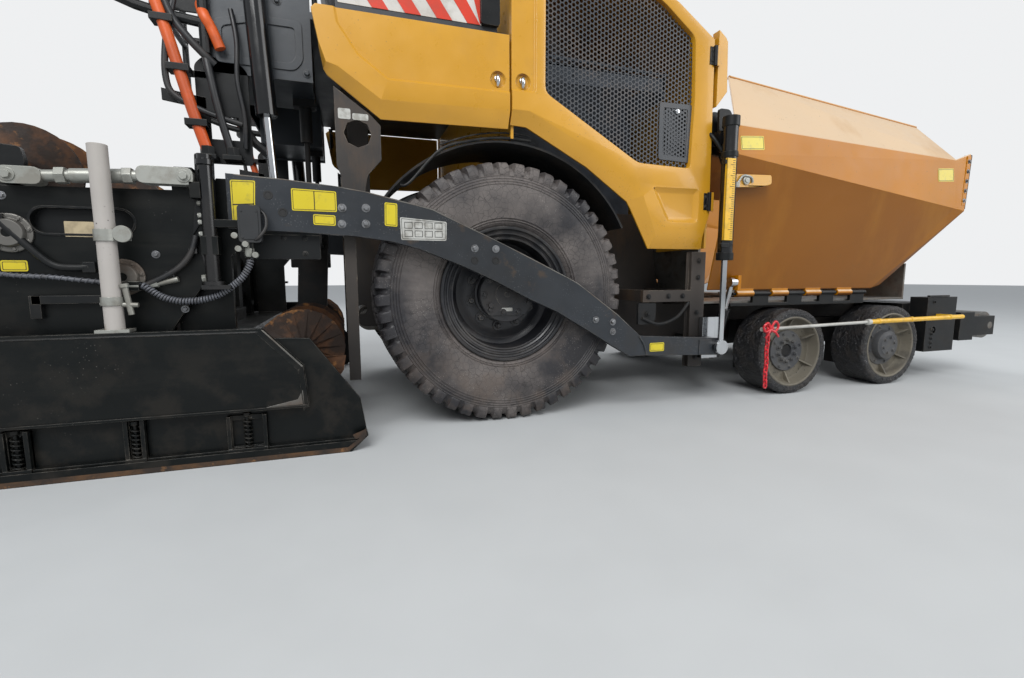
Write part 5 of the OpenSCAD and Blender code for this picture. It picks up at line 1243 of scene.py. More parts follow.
def addSpring(bm, x, o, low, high, r, wire, turns):
    line = [(x + r * math.cos(k / 12 * math.tau), o + r * math.sin(k / 12 * math.tau),
        low + (high - low) * k / (turns * 12)) for k in range(int(turns * 12) + 1)]
    addSweep(bm, line, wire, 7)


# a worm's turns round a crosswise shaft
def addFlight(bm, x, z, start, end, turns, rIn, rOut, thick, steps=34):
    count = int(steps * turns)
    rows = []
    for k in range(count + 1):
        a = k / steps * math.tau
        o = start + (end - start) * k / count
        rows.append([bm.verts.new((x + r * math.cos(a), o + t, z + r * math.sin(a))) for r,
            t in ((rIn, 0), (rOut, 0), (rOut, thick), (rIn, thick))])
    for one, two in zip(rows, rows[1:]):
        for k in range(4):
            bm.faces.new((one[k], one[(k + 1) % 4], two[(k + 1) % 4], two[k]))
    bm.faces.new(rows[0])
    bm.faces.new(rows[-1])


plateFace, gateFace, heightPost = 0.880, 0.985, (-1.342, 0.958)
screedSide = {"turnbuckle": 0.905, "slot": ((-1.52, -1.33), 0.8, 0.038),
    "flanges": [(-1.609, 0.76), (-1.331, 0.627)],
    "flights": {"x": -1.70, "z": 1.0, "o": (0.34, 0.66), "r": 0.155}}
for side, sign in sides.items():
    body = "screed_ext_" + side
    o = screedSide["turnbuckle"]
    bm = bmesh.new()
    addRod(bm, (-1.556, o, 0.9262), (-1.154, o, 0.9478), 0.0172, 24)
    for at in (-1.47, -1.3):
        z = 0.9262 + (at + 1.556) * 0.0537
        addSweep(bm, [(at, o, z), (at + 0.026, o, z + 0.0014)], 0.026, 6, 0.3)
    addRod(bm, (-1.434, o, 0.9328), (-1.276, o, 0.9413), 0.0215, 28)
    for x0, x1, z0, z1, eye in ((-1.606, -1.5, 0.9, 0.951, -1.58), (-1.262, -1.107, 0.919, 0.973, -1.133)):
        addPlate(bm, roundCorners([(x0, z0), (x1, z0), (x1, z1), (x0, z1)], 0.022), plateFace - 0.001, 0.925)
        addRod(bm, (eye, 0.925, (z0 + z1) / 2), (eye, 0.929, (z0 + z1) / 2), 0.02, 24)
        addRod(bm, (eye, 0.929, (z0 + z1) / 2), (eye, 0.938, (z0 + z1) / 2), 0.013, 6)
    finishPiece("turnbuckle_" + side, bm, body, "zincPlate", sign, bevel=0.0015)
    # round flanges with their screws
    for k, (x, z) in enumerate(screedSide["flanges"]):
        bm = bmesh.new()
        addTurned(bm, [(plateFace, 0.058), (plateFace + 0.006, 0.058), (plateFace + 0.008, 0.055),
            (plateFace + 0.008, 0.044), (plateFace + 0.02, 0.0405), (plateFace + 0.0225, 0.038),
            (plateFace + 0.0225, 0.014), (plateFace + 0.018, 0.012), (plateFace + 0.018, 0)], x, z, 44)
        for i in range(8):
            a = i * math.tau / 8 + 0.2
            addBolt(bm, x + 0.05 * math.cos(a), plateFace + 0.008, z + 0.05 * math.sin(a), 0.009)
        finishPiece(f"sideFlange_{k}_{side}", bm, body, "wornSteel", sign, smooth=30)
    # slot rim, beige blank plate, doubler and stiffening bars
    (x0, x1), z, r = screedSide["slot"]
    rim = [(x1 + (r + 0.007) * math.sin(k / 12 * math.pi),
        z + (r + 0.007) * math.cos(k / 12 * math.pi)) for k in range(13)]
    rim += [(x0 - (r + 0.007) * math.sin(k / 12 * math.pi),
        z - (r + 0.007) * math.cos(k / 12 * math.pi)) for k in range(13)]
    hole = [(x1 + r * math.sin(k / 12 * math.pi), z + r * math.cos(k / 12 * math.pi)) for k in range(13)]
    hole += [(x0 - r * math.sin(k / 12 * math.pi), z - r * math.cos(k / 12 * math.pi)) for k in range(13)]
    bm = bmesh.new()
    addPlate(bm, rim, plateFace - 0.001, plateFace + 0.003, [hole])
    addPlate(bm, roundCorners([(-1.13, 0.762), (-1.06, 0.875), (-1.056, 1.028), (-1.108, 1.028),
        (-1.112, 0.9)], 0.008), 0.86, 0.886)
    addBlock(bm, (-1.57, -1.379), (plateFace - 0.001, 0.9), (0.545, 0.57))
    addBlock(bm, (-1.576, -1.548), (plateFace - 0.001, 0.9), (0.5, 0.57))
    addPlate(bm, roundCorners([(-1.65, 0.955), (-1.6, 0.955), (-1.585, 0.985), (-1.596, 1.03),
        (-1.65, 1.035)], 0.01), 0.79, 0.81)
    addSweep(bm, smoothLine([(-1.632, 0.893, 0.799), (-1.579, 0.893, 0.737), (-1.512, 0.893, 0.667),
        (-1.46, 0.893, 0.656), (-1.42, 0.889, 0.658)], 6), 0.0115, 12)
    addBlock(bm, (-1.433, -1.4), (plateFace - 0.001, 0.9), (0.642, 0.674))
    addBlock(bm, (-1.645, -1.615), (plateFace - 0.001, 0.9), (0.785, 0.815))
    addPlate(bm, [(-1.59, 0.735), (-1.26, 0.735), (-1.26, 0.865), (-1.59, 0.865)], 0.8535, 0.856)
    finishPiece("sidePlateBars_" + side, bm, body, "frameBlack", sign, bevel=0.0015)
    boltRow("sidePlateBolts_" + side, [(-1.56, 0.557), (-1.4, 0.557), (-1.085, 0.995), (-1.085, 0.94),
        (-1.09, 0.82), (-1.22, 0.93), (-1.62, 0.87), (-1.24, 0.7), (-1.2, 0.62), (-1.17, 0.52)],
        plateFace, body, sign, 0.013)
    bm = bmesh.new()
    addUpright(bm, [(0.6, 0.0215), (0.985, 0.0215), (0.988, 0.026), (1.004, 0.026), (1.006, 0.0215),
        (1.02, 0.0215)], -1.075, 0.905, 32)
    addUpright(bm, [(0.6, 0.034), (0.612, 0.034), (0.614, 0.0215)], -1.075, 0.905, 28)
    addBlock(bm, (-1.105, -1.02), (plateFace - 0.001, 0.935), (0.586, 0.6))
    finishPiece("sensorPost_" + side, bm, body, "glossBlack", sign, smooth=40)
    # height post of the end gate: grey tube in a clamp, open at its top
    x, o = heightPost
    bm = bmesh.new()
    addUpright(bm, [(0.456, 0.0258), (1.0175, 0.0258), (1.019, 0.0245), (1.019, 0.021), (1.0155, 0.019),
        (1.0155, 0)], x, o, 44)
    finishPiece("heightTube_" + side, bm, "end_gate_" + side, "greyTube", sign, smooth=40)
    bm = bmesh.new()
    addUpright(bm, [(0.735, 0.0262), (0.735, 0.031), (0.77, 0.031), (0.77, 0.0262)], x, o, 36)
    addBlock(bm, (x + 0.024, x + 0.062), (o - 0.009, o + 0.009), (0.738, 0.767))
    addRod(bm, (x + 0.047, o + 0.009, 0.757), (x + 0.047, o + 0.02, 0.757), 0.025, 28)
    addBolt(bm, x + 0.03, o + 0.009, 0.752, 0.008)
    addUpright(bm, [(0.54, 0.0262), (0.54, 0.0305), (0.566, 0.0305), (0.566, 0.0262)], x, o, 36)
    addRod(bm, (x - 0.03, o + 0.004, 0.545), (x + 0.068, o + 0.004, 0.54), 0.0075, 14)
    addRod(bm, (x + 0.036, o + 0.004, 0.6), (x + 0.048, o + 0.004, 0.51), 0.0085, 14)
    addRod(bm, (x + 0.034, o + 0.004, 0.606), (x + 0.036, o + 0.004, 0.595), 0.013, 14)
    addBlock(bm, (x - 0.045, x + 0.045), (o - 0.03, o + 0.027), (0.4565, 0.466))
    finishPiece("postClamp_" + side, bm, "end_gate_" + side, "zincPlate", sign, bevel=0.0012)
    # stored auger flights on their cradle
    s = screedSide["flights"]
    bm = bmesh.new()
    addRod(bm, (s["x"], s["o"][0] - 0.03, s["z"]), (s["x"], s["o"][1] + 0.03, s["z"]), 0.036, 28)
    for start in (0, 0.5):
        addFlight(bm, s["x"], s["z"], s["o"][0] + start * 0.02, s["o"][1] - 0.03, 1.6, 0.035, s["r"], 0.008)
    finishPiece("storedFlights_" + side, bm, body, "oldRust", sign, smooth=40)
    bm = bmesh.new()
    for o in (s["o"][0] - 0.03, s["o"][1] + 0.012):
        addPlate(bm, [(s["x"] - 0.05, 0.428), (s["x"] + 0.05, 0.428), (s["x"] + 0.05, 1.01),
            (s["x"] + 0.037, 1.01), (s["x"] + 0.03, 0.975), (s["x"], 0.963), (s["x"] - 0.03, 0.975),
            (s["x"] - 0.037, 1.01), (s["x"] - 0.05, 1.01)], o, o + 0.016)
    finishPiece("flightCradle_" + side, bm, body, "frameBlack", sign, bevel=0.0015)
    # end gate: folded bright lip, ledges, lug frames with springs, worn ski edge
    gate = "end_gate_" + side
    bm = bmesh.new()
    fold = [(-1.955, 0.4555), (-1.6, 0.4555), (-0.932, 0.4555), (-0.8085, 0.322), (-0.7965, 0.18)]
    inner = [(x - 0.004 - (0.012 if k > 1 else 0), z - 0.014) for k, (x, z) in enumerate(fold)]
    for k in range(len(fold) - 1):
        addSheet(bm, [(fold[k][0], gateFace - 0.003, fold[k][1]),
            (fold[k + 1][0], gateFace - 0.003, fold[k + 1][1]),
            (inner[k + 1][0], gateFace + 0.002, inner[k + 1][1]),
            (inner[k][0], gateFace + 0.002, inner[k][1])], 0.004)
    addBlock(bm, (-1.968, -0.797), (gateFace - 0.001, gateFace + 0.005), (0.178, 0.187))
    finishPiece("gateFold_" + side, bm, gate, "gateBlack", sign, bevel=0.001)
    bm = bmesh.new()
    for x0, x1, top in ((-1.65, -1.58, 0.168), (-1.342, -1.285, 0.178), (-1.053, -0.932, 0.162)):
        addPlate(bm, [(x0, 0.042), (x1, 0.042), (x1, top), (x0, top)], 0.9545, 0.966,
            [[(x0 + 0.014, 0.056), (x1 - 0.014, 0.056), (x1 - 0.014, top - 0.016),
            (x0 + 0.014, top - 0.016)]])
        addBlock(bm, (x0, x1), (0.954, 0.982), (0.04, 0.05))
        addBlock(bm, (x0, x0 + 0.012), (0.954, 0.98), (0.04, top))
        addBlock(bm, (x1 - 0.012, x1), (0.954, 0.98), (0.04, top))
    for x in (-1.615, -1.313, -0.993):
        addSpring(bm, x, 0.968, 0.052, 0.152, 0.0115, 0.0032, 7)
        addUpright(bm, [(0.045, 0.006), (0.158, 0.006), (0.16, 0.012), (0.172, 0.012)], x, 0.968, 14)
    addBlock(bm, (-1.96, -0.64), (0.954, 0.975), (0.04, 0.047))
    finishPiece("gateLugs_" + side, bm, gate, "gateBlack", sign, bevel=0.001)
    bm = bmesh.new()
    ski = [(-1.985, 0.006), (-1.5, 0.006), (-1.0, 0.006), (-0.672, 0.006), (-0.612, 0.05)]
    for a, b in zip(ski, ski[1:]):
        addSheet(bm, [(a[0], gateFace + 0.0008, a[1] - 0.004), (b[0], gateFace + 0.0008, b[1] - 0.004),
            (b[0], gateFace + 0.0008, b[1] + 0.012), (a[0], gateFace + 0.0008, a[1] + 0.012)], 0.0016)
    addPlate(bm, [(-0.645, 0.045), (-0.607, 0.055), (-0.608, 0.079), (-0.655, 0.062)], gateFace - 0.001,
        gateFace + 0.0012)
    finishPiece("skiWear_" + side, bm, gate, "edgeBrown", sign)
    bm = bmesh.new()
    addPlate(bm, [(-0.935, 0.186), (-0.81, 0.188), (-0.812, 0.24), (-0.83, 0.207), (-0.88, 0.197)],
        gateFace - 0.001, gateFace + 0.001)
    addSheet(bm, [(-0.93, gateFace + 0.0012, 0.4505), (-0.924, gateFace + 0.0012, 0.4505),
        (-0.806, gateFace + 0.0012, 0.322), (-0.812, gateFace + 0.0012, 0.32)], 0.001)
    finishPiece("gateRub_" + side, bm, gate, "wornSteel", sign)

# sensor with its fittings, connectors and label, on the right only
addLabel("sideLabel", [(-1.642, 0.645), (-1.576, 0.645), (-1.576, 0.678), (-1.642, 0.678)], plateFace,
    "screed_ext_right")
bm = bmesh.new()
addPlate(bm, roundCorners([(-1.475, 0.752), (-1.399, 0.752), (-1.399, 0.799), (-1.475, 0.799)], 0.003),
    0.878, 0.8815)
finishPiece("beigePlate", bm, "screed_ext_right", "plateBeige")
bm = bmesh.new()
for z in (0.868, 0.828, 0.806, 0.768):
    addRod(bm, (-1.108, 0.894, z), (-1.078, 0.894, z), 0.0085, 16)
    addRod(bm, (-1.1, 0.885, z), (-1.1, 0.905, z), 0.006, 12)
for a, b in (((-1.262, 0.89, 0.601), (-1.18, 0.89, 0.62)), ((-1.11, 0.89, 0.62), (-1.07, 0.89, 0.626))):
    addRod(bm, a, b, 0.0095, 16)
    addRod(bm, a, tuple(p + (q - p) * 0.3 for p, q in zip(a, b)), 0.0135, 6)
for x, z in ((-0.999, 0.763), (-0.968, 0.735), (-0.94, 0.7), (-0.99, 0.72)):
    addRod(bm, (x, 0.921, z), (x, 0.936, z), 0.01, 12)
addUpright(bm, [(0.694, 0.0145), (0.7, 0.0165), (0.722, 0.0165), (0.724, 0.0135), (0.742, 0.0135)],
    -0.962, 0.907, 24)
addRod(bm, (-1.314, 0.907, 0.598), (-1.2825, 0.907, 0.598), 0.0155, 20)
finishPiece("sensorFittings", bm, "screed_ext_right", "zincPlate", smooth=40)
bm = bmesh.new()
addPlate(bm, roundCorners([(-0.988, 0.741), (-0.918, 0.741), (-0.918, 0.864), (-0.988, 0.864)], 0.014),
    0.889, 0.928)
addPlate(bm, roundCorners([(-0.98, 0.752), (-0.926, 0.752), (-0.926, 0.85), (-0.98, 0.85)], 0.008), 0.926,
    0.931)
for x, z in ((-0.975, 0.758), (-0.931, 0.758), (-0.975, 0.844), (-0.931, 0.844)):
    addRod(bm, (x, 0.93, z), (x, 0.933, z), 0.0035, 10)
finishPiece("sensorHead", bm, "screed_ext_right", "consolePlastic", bevel=0.002)
bm = bmesh.new()
addSweep(bm, smoothLine([(-1.119, 0.893, 0.762), (-1.134, 0.898, 0.709), (-1.165, 0.9, 0.665),
    (-1.212, 0.898, 0.631), (-1.286, 0.892, 0.593)], 8), 0.0095, 12)
addSweep(bm, smoothLine([(-1.095, 0.893, 0.77), (-1.1, 0.902, 0.72), (-1.09, 0.905, 0.66),
    (-1.075, 0.9, 0.628)], 8), 0.006, 10)
addSweep(bm, smoothLine([(-0.958, 0.907, 0.744), (-0.93, 0.93, 0.755), (-0.905, 0.925, 0.79),
    (-0.905, 0.915, 0.83), (-0.92, 0.908, 0.85)], 6), 0.0055, 9)
for at in ((-1.13, 0.897, 0.712), (-1.2, 0.899, 0.638)):
    addBlock(bm, (at[0] - 0.012, at[0] + 0.012), (0.879, 0.9), (at[2] - 0.008, at[2] + 0.008))
finishPiece("clippedLines", bm, "screed_ext_right", "hoseBlack", smooth=60)
print("screed dressed")

# rear of the machine: orange conduits and lines in clips on the side panel and its bulkhead strip

rearLines = {
    "orangeOuter": {"r": 0.019, "finish": "conduitOrange", "points": [
        (-1.232, 0.735, 1.585), (-1.202, 0.735, 1.477), (-1.168, 0.735, 1.337), (-1.133, 0.735, 1.192),
        (-1.099, 0.73, 1.066)]},
    "orangeInner": {"r": 0.018, "finish": "conduitOrange", "points": [
        (-1.118, 0.62, 1.64), (-1.084, 0.725, 1.531), (-1.06, 0.728, 1.48), (-1.038, 0.725, 1.42)]},
    "lineOne": {"r": 0.0135, "finish": "hoseBlack", "points": [
        (-1.09, 0.72, 1.42), (-1.073, 0.735, 1.315), (-1.05, 0.735, 1.183), (-1.019, 0.73, 1.05)]},
    "lineTwo": {"r": 0.0135, "finish": "hoseBlack", "points": [
        (-1.199, 0.735, 1.57), (-1.175, 0.735, 1.5), (-1.131, 0.735, 1.439), (-1.085, 0.73, 1.39),
        (-1.06, 0.72, 1.367)]},
    "lineThree": {"r": 0.0105, "finish": "hoseBlack", "points": [
        (-1.17, 0.73, 1.56), (-1.2, 0.735, 1.42), (-1.208, 0.735, 1.3), (-1.181, 0.735, 1.244),
        (-1.09, 0.73, 1.2), (-0.985, 0.72, 1.172)]},
    "lineFour": {"r": 0.0085, "finish": "hoseBlack", "points": [
        (-1.0, 0.715, 1.56), (-0.985, 0.73, 1.45), (-0.99, 0.735, 1.32), (-0.975, 0.73, 1.2),
        (-0.98, 0.715, 1.09)]},
}
for side, sign in sides.items():
    for name, s in rearLines.items():
        bm = bmesh.new()
        addSweep(bm, smoothLine(s["points"], 8), s["r"], 16)
        finishPiece(f"{name}_{side}", bm, "machine", s["finish"], sign, smooth=60)
    bm = bmesh.new()
    addPlate(bm, roundCorners([(-1.13, 1.035), (-0.96, 1.035), (-0.96, 1.36), (-1.0, 1.4), (-1.1, 1.4),
        (-1.13, 1.37)], 0.015), 0.692, 0.7, [[(-1.09, 1.12), (-1.0, 1.12), (-1.0, 1.2), (-1.09, 1.2)]])
    addPlate(bm, [(-1.25, 1.54), (-1.08, 1.54), (-1.08, 1.598), (-1.25, 1.598)], 0.692, 0.7)
    addPlate(bm, [(-1.235, 1.24), (-1.1, 1.22), (-1.1, 1.26), (-1.235, 1.28)], 0.692, 0.7)
    for x, z in ((-1.168, 1.337), (-1.125, 1.16), (-1.205, 1.49)):
        addBlock(bm, (x - 0.034, x + 0.034), (0.698, 0.757), (z - 0.011, z + 0.011))
    addBlock(bm, (-1.19, -1.085), (0.692, 0.7), (1.326, 1.348))
    for x in (-1.099, -1.019):
        addBlock(bm, (x - 0.03, x + 0.03), (0.698, 0.76), (1.04, 1.056))
        addRod(bm, (x, 0.732, 1.05), (x, 0.732, 1.085), 0.023, 6)
    finishPiece("lineBracket_" + side, bm, "machine", "frameBlack", sign, bevel=0.0015)
    # side panel: pressed field, bolts, lifting slot
    bm = bmesh.new()
    addPlate(bm, roundCorners([(-1.06, 1.385), (-0.8, 1.385), (-0.77, 1.42), (-0.77, 1.56), (-0.93, 1.56),
        (-1.06, 1.53)], 0.02), 0.6995, 0.7045, [roundCorners([(-1.035, 1.41), (-0.815, 1.41),
        (-0.795, 1.435), (-0.795, 1.535), (-0.935, 1.535), (-1.035, 1.508)], 0.015)])
    for x, z in ((-1.08, 1.44), (-1.08, 1.58), (-0.76, 1.38), (-0.85, 1.62), (-0.97, 1.62), (-1.08, 1.72),
            (-0.76, 1.72)):
        addBolt(bm, x, 0.7, z, 0.016)
    finishPiece("sidePanel_" + side, bm, "machine", "deckSteel", sign, bevel=0.0015)
print("rear lines laid")

# hazard plate under the deck, corner strip, bracket labels, mudguard lip

stripes = {"x": (-0.642, -0.036), "z": (1.61, 1.766), "o": 0.782, "pitch": 0.12, "lean": 0.11, "box": 0.075}
bumperBolts = {"x": 2.68, "o": 0.8, "size": 0.013, "z": (0.197, 0.224, 0.251, 0.278, 0.305, 0.47)}
for side, sign in sides.items():
    s = stripes
    (x0, x1), (z0, z1) = s["x"], s["z"]
    bm = bmesh.new()
    addPlate(bm, roundCorners([(x0, z0), (x1, z0), (x1, z1), (x0, z1)], 0.004), s["o"], s["o"] + 0.002)
    finishPiece("hazardPlate_" + side, bm, "machine", "stripeWhite", sign)
    bm = bmesh.new()
    x = x0 - s["lean"]
    while x < x1 - s["box"]:
        band = [(x + s["lean"], z0), (x + s["lean"] + s["pitch"] / 2, z0), (x + s["pitch"] / 2, z1), (x, z1)]
        band = [(min(max(px, x0), x1 - s["box"]), pz) for px, pz in band]
        if max(p[0] for p in band) - min(p[0] for p in band) > 0.01 and band[0][0] > x0:
            addPlate(bm, band, s["o"] + 0.001, s["o"] + 0.0032)
        x += s["pitch"]
    finishPiece("hazardBands_" + side, bm, "machine", "stripeRed", sign)
    bm = bmesh.new()
    addPlate(bm, roundCorners([(x1 - s["box"], z0 - 0.002), (x1 + 0.002, z0 - 0.002), (x1 + 0.002, z1),
        (x1 - s["box"], z1)], 0.014), s["o"] - 0.004, s["o"] + 0.022)
    addBlock(bm, (x0 - 0.006, x1), (0.77, s["o"] + 0.008), (z1, z1 + 0.01))
    finishPiece("plateLamp_" + side, bm, "machine", "frameBlack", sign, bevel=0.003)
    bm = bmesh.new()
    line = [(-0.438, 0.982), (-0.4, 0.995), (-0.278, 1.126), (-0.155, 1.17), (-0.028, 1.192), (0.104, 1.191)]
    addSweep(bm, smoothLine([(x, 0.776, z) for x, z in line], 6), 0.006, 10)
    addSweep(bm, smoothLine([(x, 0.77, z + 0.022) for x, z in line[2:]], 6), 0.0035, 8)
    finishPiece("guardLip_" + side, bm, "machine", "frameBlack", sign)
    # cross beam on the arm's inner face
    bm = bmesh.new()
    addPlate(bm, roundCorners([(-0.985, 0.69), (-0.738, 0.69), (-0.738, 0.783), (-0.985, 0.783)], 0.008),
        0.803, 0.8345)
    addBlock(bm, (-0.985, -0.738), (0.803, 0.838), (0.776, 0.784))
    for x, z in ((-0.79, 0.765), (-0.79, 0.71), (-0.86, 0.765)):
        addBolt(bm, x, 0.8345, z, 0.009)
    finishPiece("armCrossBeam_" + side, bm, "screed", "frameBlack", sign, bevel=0.002)
    # bumper box: a column of bolts and the plate on its top
    bm = bmesh.new()
    addBlock(bm, (2.625, 2.8), (0.79, 0.806), (0.5, 0.51))
    for z in bumperBolts["z"]:
        addBolt(bm, bumperBolts["x"], bumperBolts["o"], z, bumperBolts["size"])
    finishPiece("bumperBolts_" + side, bm, "machine", "frameBlack", sign, bevel=0.002)
    # bolts, stay and small line along the lower frame between the wheels
    bm = bmesh.new()
    for x, z in ((0.69, 0.45), (0.69, 0.53), (0.8, 0.532), (0.88, 0.532), (0.965, 0.23), (0.965, 0.45),
            (0.965, 0.62), (0.965, 0.7)):
        addBolt(bm, x, 0.8, z, 0.014)
    addPlate(bm, roundCorners([(0.64, 0.4), (0.72, 0.4), (0.735, 0.43), (0.735, 0.5), (0.64, 0.5)],
        0.008), 0.78, 0.796)
    addSweep(bm, smoothLine([(0.66, 0.797, 0.43), (0.75, 0.8, 0.4), (0.85, 0.8, 0.43),
        (0.92, 0.795, 0.5)], 6), 0.008, 10)
    finishPiece("lowerFittings_" + side, bm, "machine", "underBlack", sign, bevel=0.0015)
addLabel("bracketLabelOne", [(-0.657, 1.203), (-0.613, 1.203), (-0.613, 1.24), (-0.657, 1.24)], 0.8,
    "machine", "labelPale", line=False)
addLabel("bracketLabelTwo", [(-0.607, 1.203), (-0.55, 1.203), (-0.55, 1.226), (-0.607, 1.226)], 0.8,
    "machine", "labelPale", line=False)

# seats: crowned pads with a seam round them, on their shells

padTable = {"seatCushion": {"x": (-0.665, -0.205), "o": (0.3, 0.735), "z": (1.965, 2.055), "crown": 0.02,
                            "tilt": 0},
            "seatBack": {"x": (-0.05, 0.05), "o": (0.312, 0.723), "z": (0, 0.52), "crown": 0.016,
                         "tilt": -0.16},
            "armRest": {"x": (-0.6, -0.26), "o": (0.702, 0.746), "z": (2.152, 2.19), "crown": 0.004,
                        "tilt": 0}}


# a closed pad: a rounded box whose faces swell and whose seam is drawn in
def addPad(bm, s, per=22):
    low = Vector((s["x"][0], s["o"][0], s["z"][0]))
    high = Vector((s["x"][1], s["o"][1], s["z"][1]))
    half, middle = (high - low) / 2, (high + low) / 2
    made = {}

    def point(u, v, w):
        key = (round(u, 4), round(v, 4), round(w, 4))
        if key not in made:
            p = Vector((u, v, w))
            power = 6.0
            size = sum(abs(c) ** power for c in p) ** (1 / power)
            q = Vector([c / size for c in p])
            thin = min(range(3), key=lambda i: half[i])
            flat = [i for i in range(3) if i != thin]
            swell = (1 - q[flat[0]] ** 2) * (1 - q[flat[1]] ** 2)
            at = Vector([q[i] * half[i] for i in range(3)])
            at[thin] += s["crown"] * swell * (1 if q[thin] > 0 else -0.3)
            seam = math.exp(-(q[thin] * 5) ** 2) * 0.004
            channel = sum(math.exp(-((q[flat[0]] - c) * 16) ** 2) for c in (-0.45, 0.1, 0.6)) * 0.005
            at[thin] -= channel * (1 if q[thin] > 0.4 else 0) * (1 if s["crown"] > 0.01 else 0)
            for i in flat:
                at[i] -= seam * (1 if q[i] > 0 else -1) * (abs(q[i]) > 0.7)
            made[key] = bm.verts.new((middle.x + at.x + s["tilt"] * (at.z + half.z), middle.y + at.y,
                middle.z + at.z))
        return made[key]

    steps = [-1 + 2 * i / per for i in range(per + 1)]
    for axis in range(3):
        for end in (-1, 1):
            for a, b in zip(steps, steps[1:]):
                for c, d in zip(steps, steps[1:]):
                    quad = []
                    for u, v in ((a, c), (b, c), (b, d), (a, d)):
                        p = [u, v]
                        p.insert(axis, end)
                        quad.append(point(*p))
                    bm.faces.new(quad)


seatBackPlace = Vector((-0.665, 0, 2.045))
for side, sign in sides.items():
    for name, s in padTable.items():
        bm = bmesh.new()
        addPad(bm, s)
        if name == "seatBack":
            bmesh.ops.translate(bm, verts=bm.verts, vec=seatBackPlace + Vector((0.035, 0, 0)))
        pad = finishPiece(f"{name}_{side}", bm, "machine", "seatVinyl", sign, smooth=60)
        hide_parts("seats")
    bm = bmesh.new()
    addPlate(bm, roundCorners([(-0.67, 1.921), (-0.2, 1.921), (-0.2, 1.97), (-0.67, 1.985)], 0.012),
        0.295, 0.74)
    addPlate(bm, [(-0.66, 1.95), (-0.62, 1.95), (-0.71, 2.55), (-0.755, 2.55)], 0.32, 0.715)
    addBlock(bm, (-0.6, -0.56), (0.705, 0.738), (1.96, 2.156))
    addSweep(bm, smoothLine([(-0.3, 0.72, 2.19), (-0.29, 0.72, 2.23), (-0.285, 0.72, 2.26)], 4),
        [0.014] * 9, 14)
    addRod(bm, (-0.285, 0.72, 2.255), (-0.283, 0.72, 2.3), 0.021, 20)
    finishPiece("seatShell_" + side, bm, "machine", "consolePlastic", sign, bevel=0.004)
print("seats made")

# console top: dark display, switches and levers on the sloped panel

bm = bmesh.new()
addPlate(bm, [(-0.247, 2.064), (-0.232, 2.122), (-0.2, 2.1225), (-0.2, 2.118)], -0.2, 0.2)
for i in range(6):
    addRod(bm, (-0.15, -0.2 + i * 0.08, 2.12), (-0.15, -0.2 + i * 0.08, 2.145), 0.009, 14)
    addRod(bm, (-0.15, -0.2 + i * 0.08, 2.145), (-0.15, -0.2 + i * 0.08, 2.155), 0.014, 14)
for i in range(8):
    addBlock(bm, (-0.1, -0.08), (-0.22 + i * 0.06, -0.19 + i * 0.06), (2.12, 2.127))
addPlate(bm, roundCorners([(-0.06, 2.12), (-0.01, 2.12), (-0.03, 2.25), (-0.06, 2.25)], 0.006), -0.11, 0.11)
finishPiece("consoleControls", bm, "machine", "consolePlastic", bevel=0.002)
bm = bmesh.new()
addPlate(bm, [(-0.062, 2.135), (-0.0595, 2.135), (-0.0595, 2.24), (-0.062, 2.24)], -0.095, 0.095)
finishPiece("consoleScreen", bm, "machine", "inkAndShadeBlack")
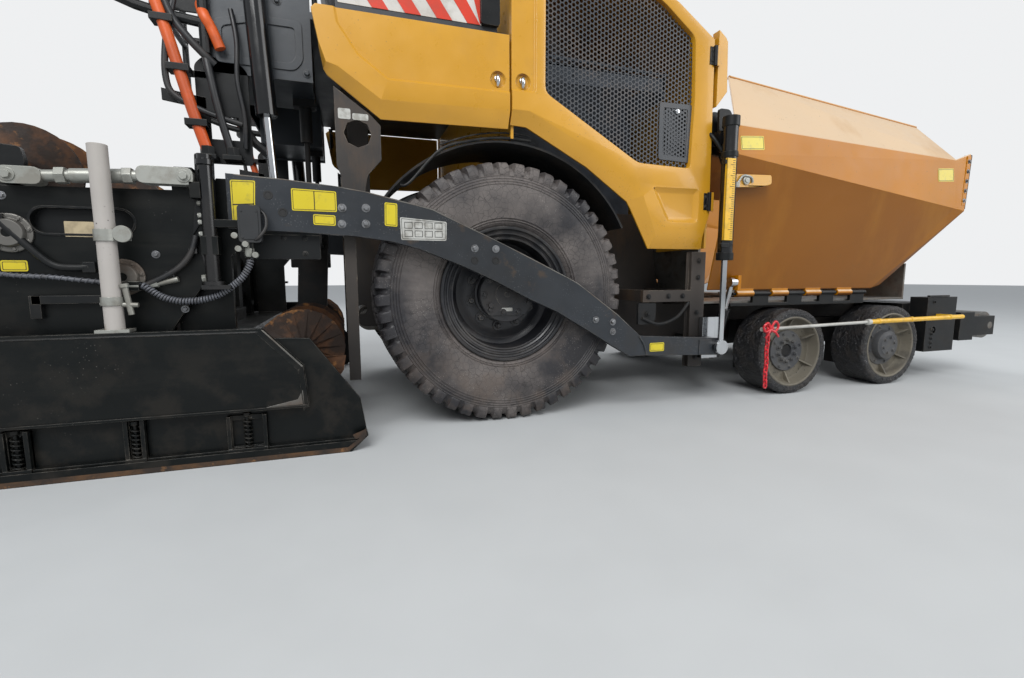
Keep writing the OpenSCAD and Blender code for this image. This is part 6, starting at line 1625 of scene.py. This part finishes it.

# canopy: roof ribs and a lamp at each corner

roofLow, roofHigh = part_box("canopy_roof")
canopy = {"lamp": (0.11, 0.06), "ribs": 5}
bm = bmesh.new()
front, back = roofHigh[0] - rearAxleX, roofLow[0] - rearAxleX
halfWide, top = roofHigh[1], roofHigh[2]
for k in range(canopy["ribs"]):
    x = back + (front - back) * (k + 1) / (canopy["ribs"] + 1)
    addSweep(bm, [(x, -halfWide * 0.8, top - 0.006), (x, halfWide * 0.8, top - 0.006)], 0.012, 12)
finishPiece("roofRibs", bm, "canopy_roof", "paverYellow", smooth=60)
for side, sign in sides.items():
    for end, x in (("front", front - 0.09), ("rear", back + 0.09)):
        bm = bmesh.new()
        z = roofLow[2]
        addTurned(bm, [(halfWide - 0.19, 0.02), (halfWide - 0.19, 0.05), (halfWide - 0.13, 0.055),
            (halfWide - 0.13, 0)], x, z - 0.058, 28)
        addBlock(bm, (x - 0.012, x + 0.012), (halfWide - 0.17, halfWide - 0.15), (z - 0.03, z + 0.004))
        finishPiece(f"workLamp_{end}_{side}", bm, "canopy_roof", "frameBlack", sign, smooth=40)
print("console and canopy dressed")

# floor and light

floor = bpy.data.objects.new("floor", bpy.data.meshes.new("floor"))
floor.data.from_pydata([(-40, -40, 0), (40, -40, 0), (40, 40, 0), (-40, 40, 0)], [], [(0, 1, 2, 3)])
floor.data.materials.append(finishes["floorPale"])
bpy.context.collection.objects.link(floor)

sky = bpy.data.worlds.new("paleSky")
bpy.context.scene.world = sky
sky.use_nodes = True
tree = sky.node_tree
plain = tree.nodes["Background"]
plain.inputs["Color"].default_value = (0.93, 0.96, 1, 1)
plain.inputs["Strength"].default_value = 0.62
white = addNode(tree, "Background", Strength=1)
white.inputs["Color"].default_value = (0.86, 0.87, 0.88, 1)
rays = addNode(tree, "LightPath")
seen = combine(tree, "ADD", rays.outputs["Is Camera Ray"], rays.outputs["Is Transmission Ray"])
pick = addNode(tree, "MixShader")
tree.links.new(seen, pick.inputs[0])
tree.links.new(plain.outputs[0], pick.inputs[1])
tree.links.new(white.outputs[0], pick.inputs[2])
tree.links.new(pick.outputs[0], tree.nodes["World Output"].inputs["Surface"])

softLights = [{"name": "keySoft", "place": (-3.5, -6.5, 7), "aim": (0, 0, 1), "size": 5, "power": 620},
    {"name": "fillSoft", "place": (6, -5, 4), "aim": (1, 0, 1), "size": 5, "power": 230},
    {"name": "backSoft", "place": (1, 6, 6), "aim": (0, 0, 1), "size": 5, "power": 200}]
for s in softLights:
    data = bpy.data.lights.new(s["name"], "AREA")
    data.size, data.energy = s["size"], s["power"]
    lamp = bpy.data.objects.new(s["name"], data)
    lamp.location = s["place"]
    aim = Vector(s["aim"]) - Vector(s["place"])
    lamp.rotation_euler = aim.to_track_quat("-Z", "Y").to_euler()
    bpy.context.collection.objects.link(lamp)
print("floor and lights set")
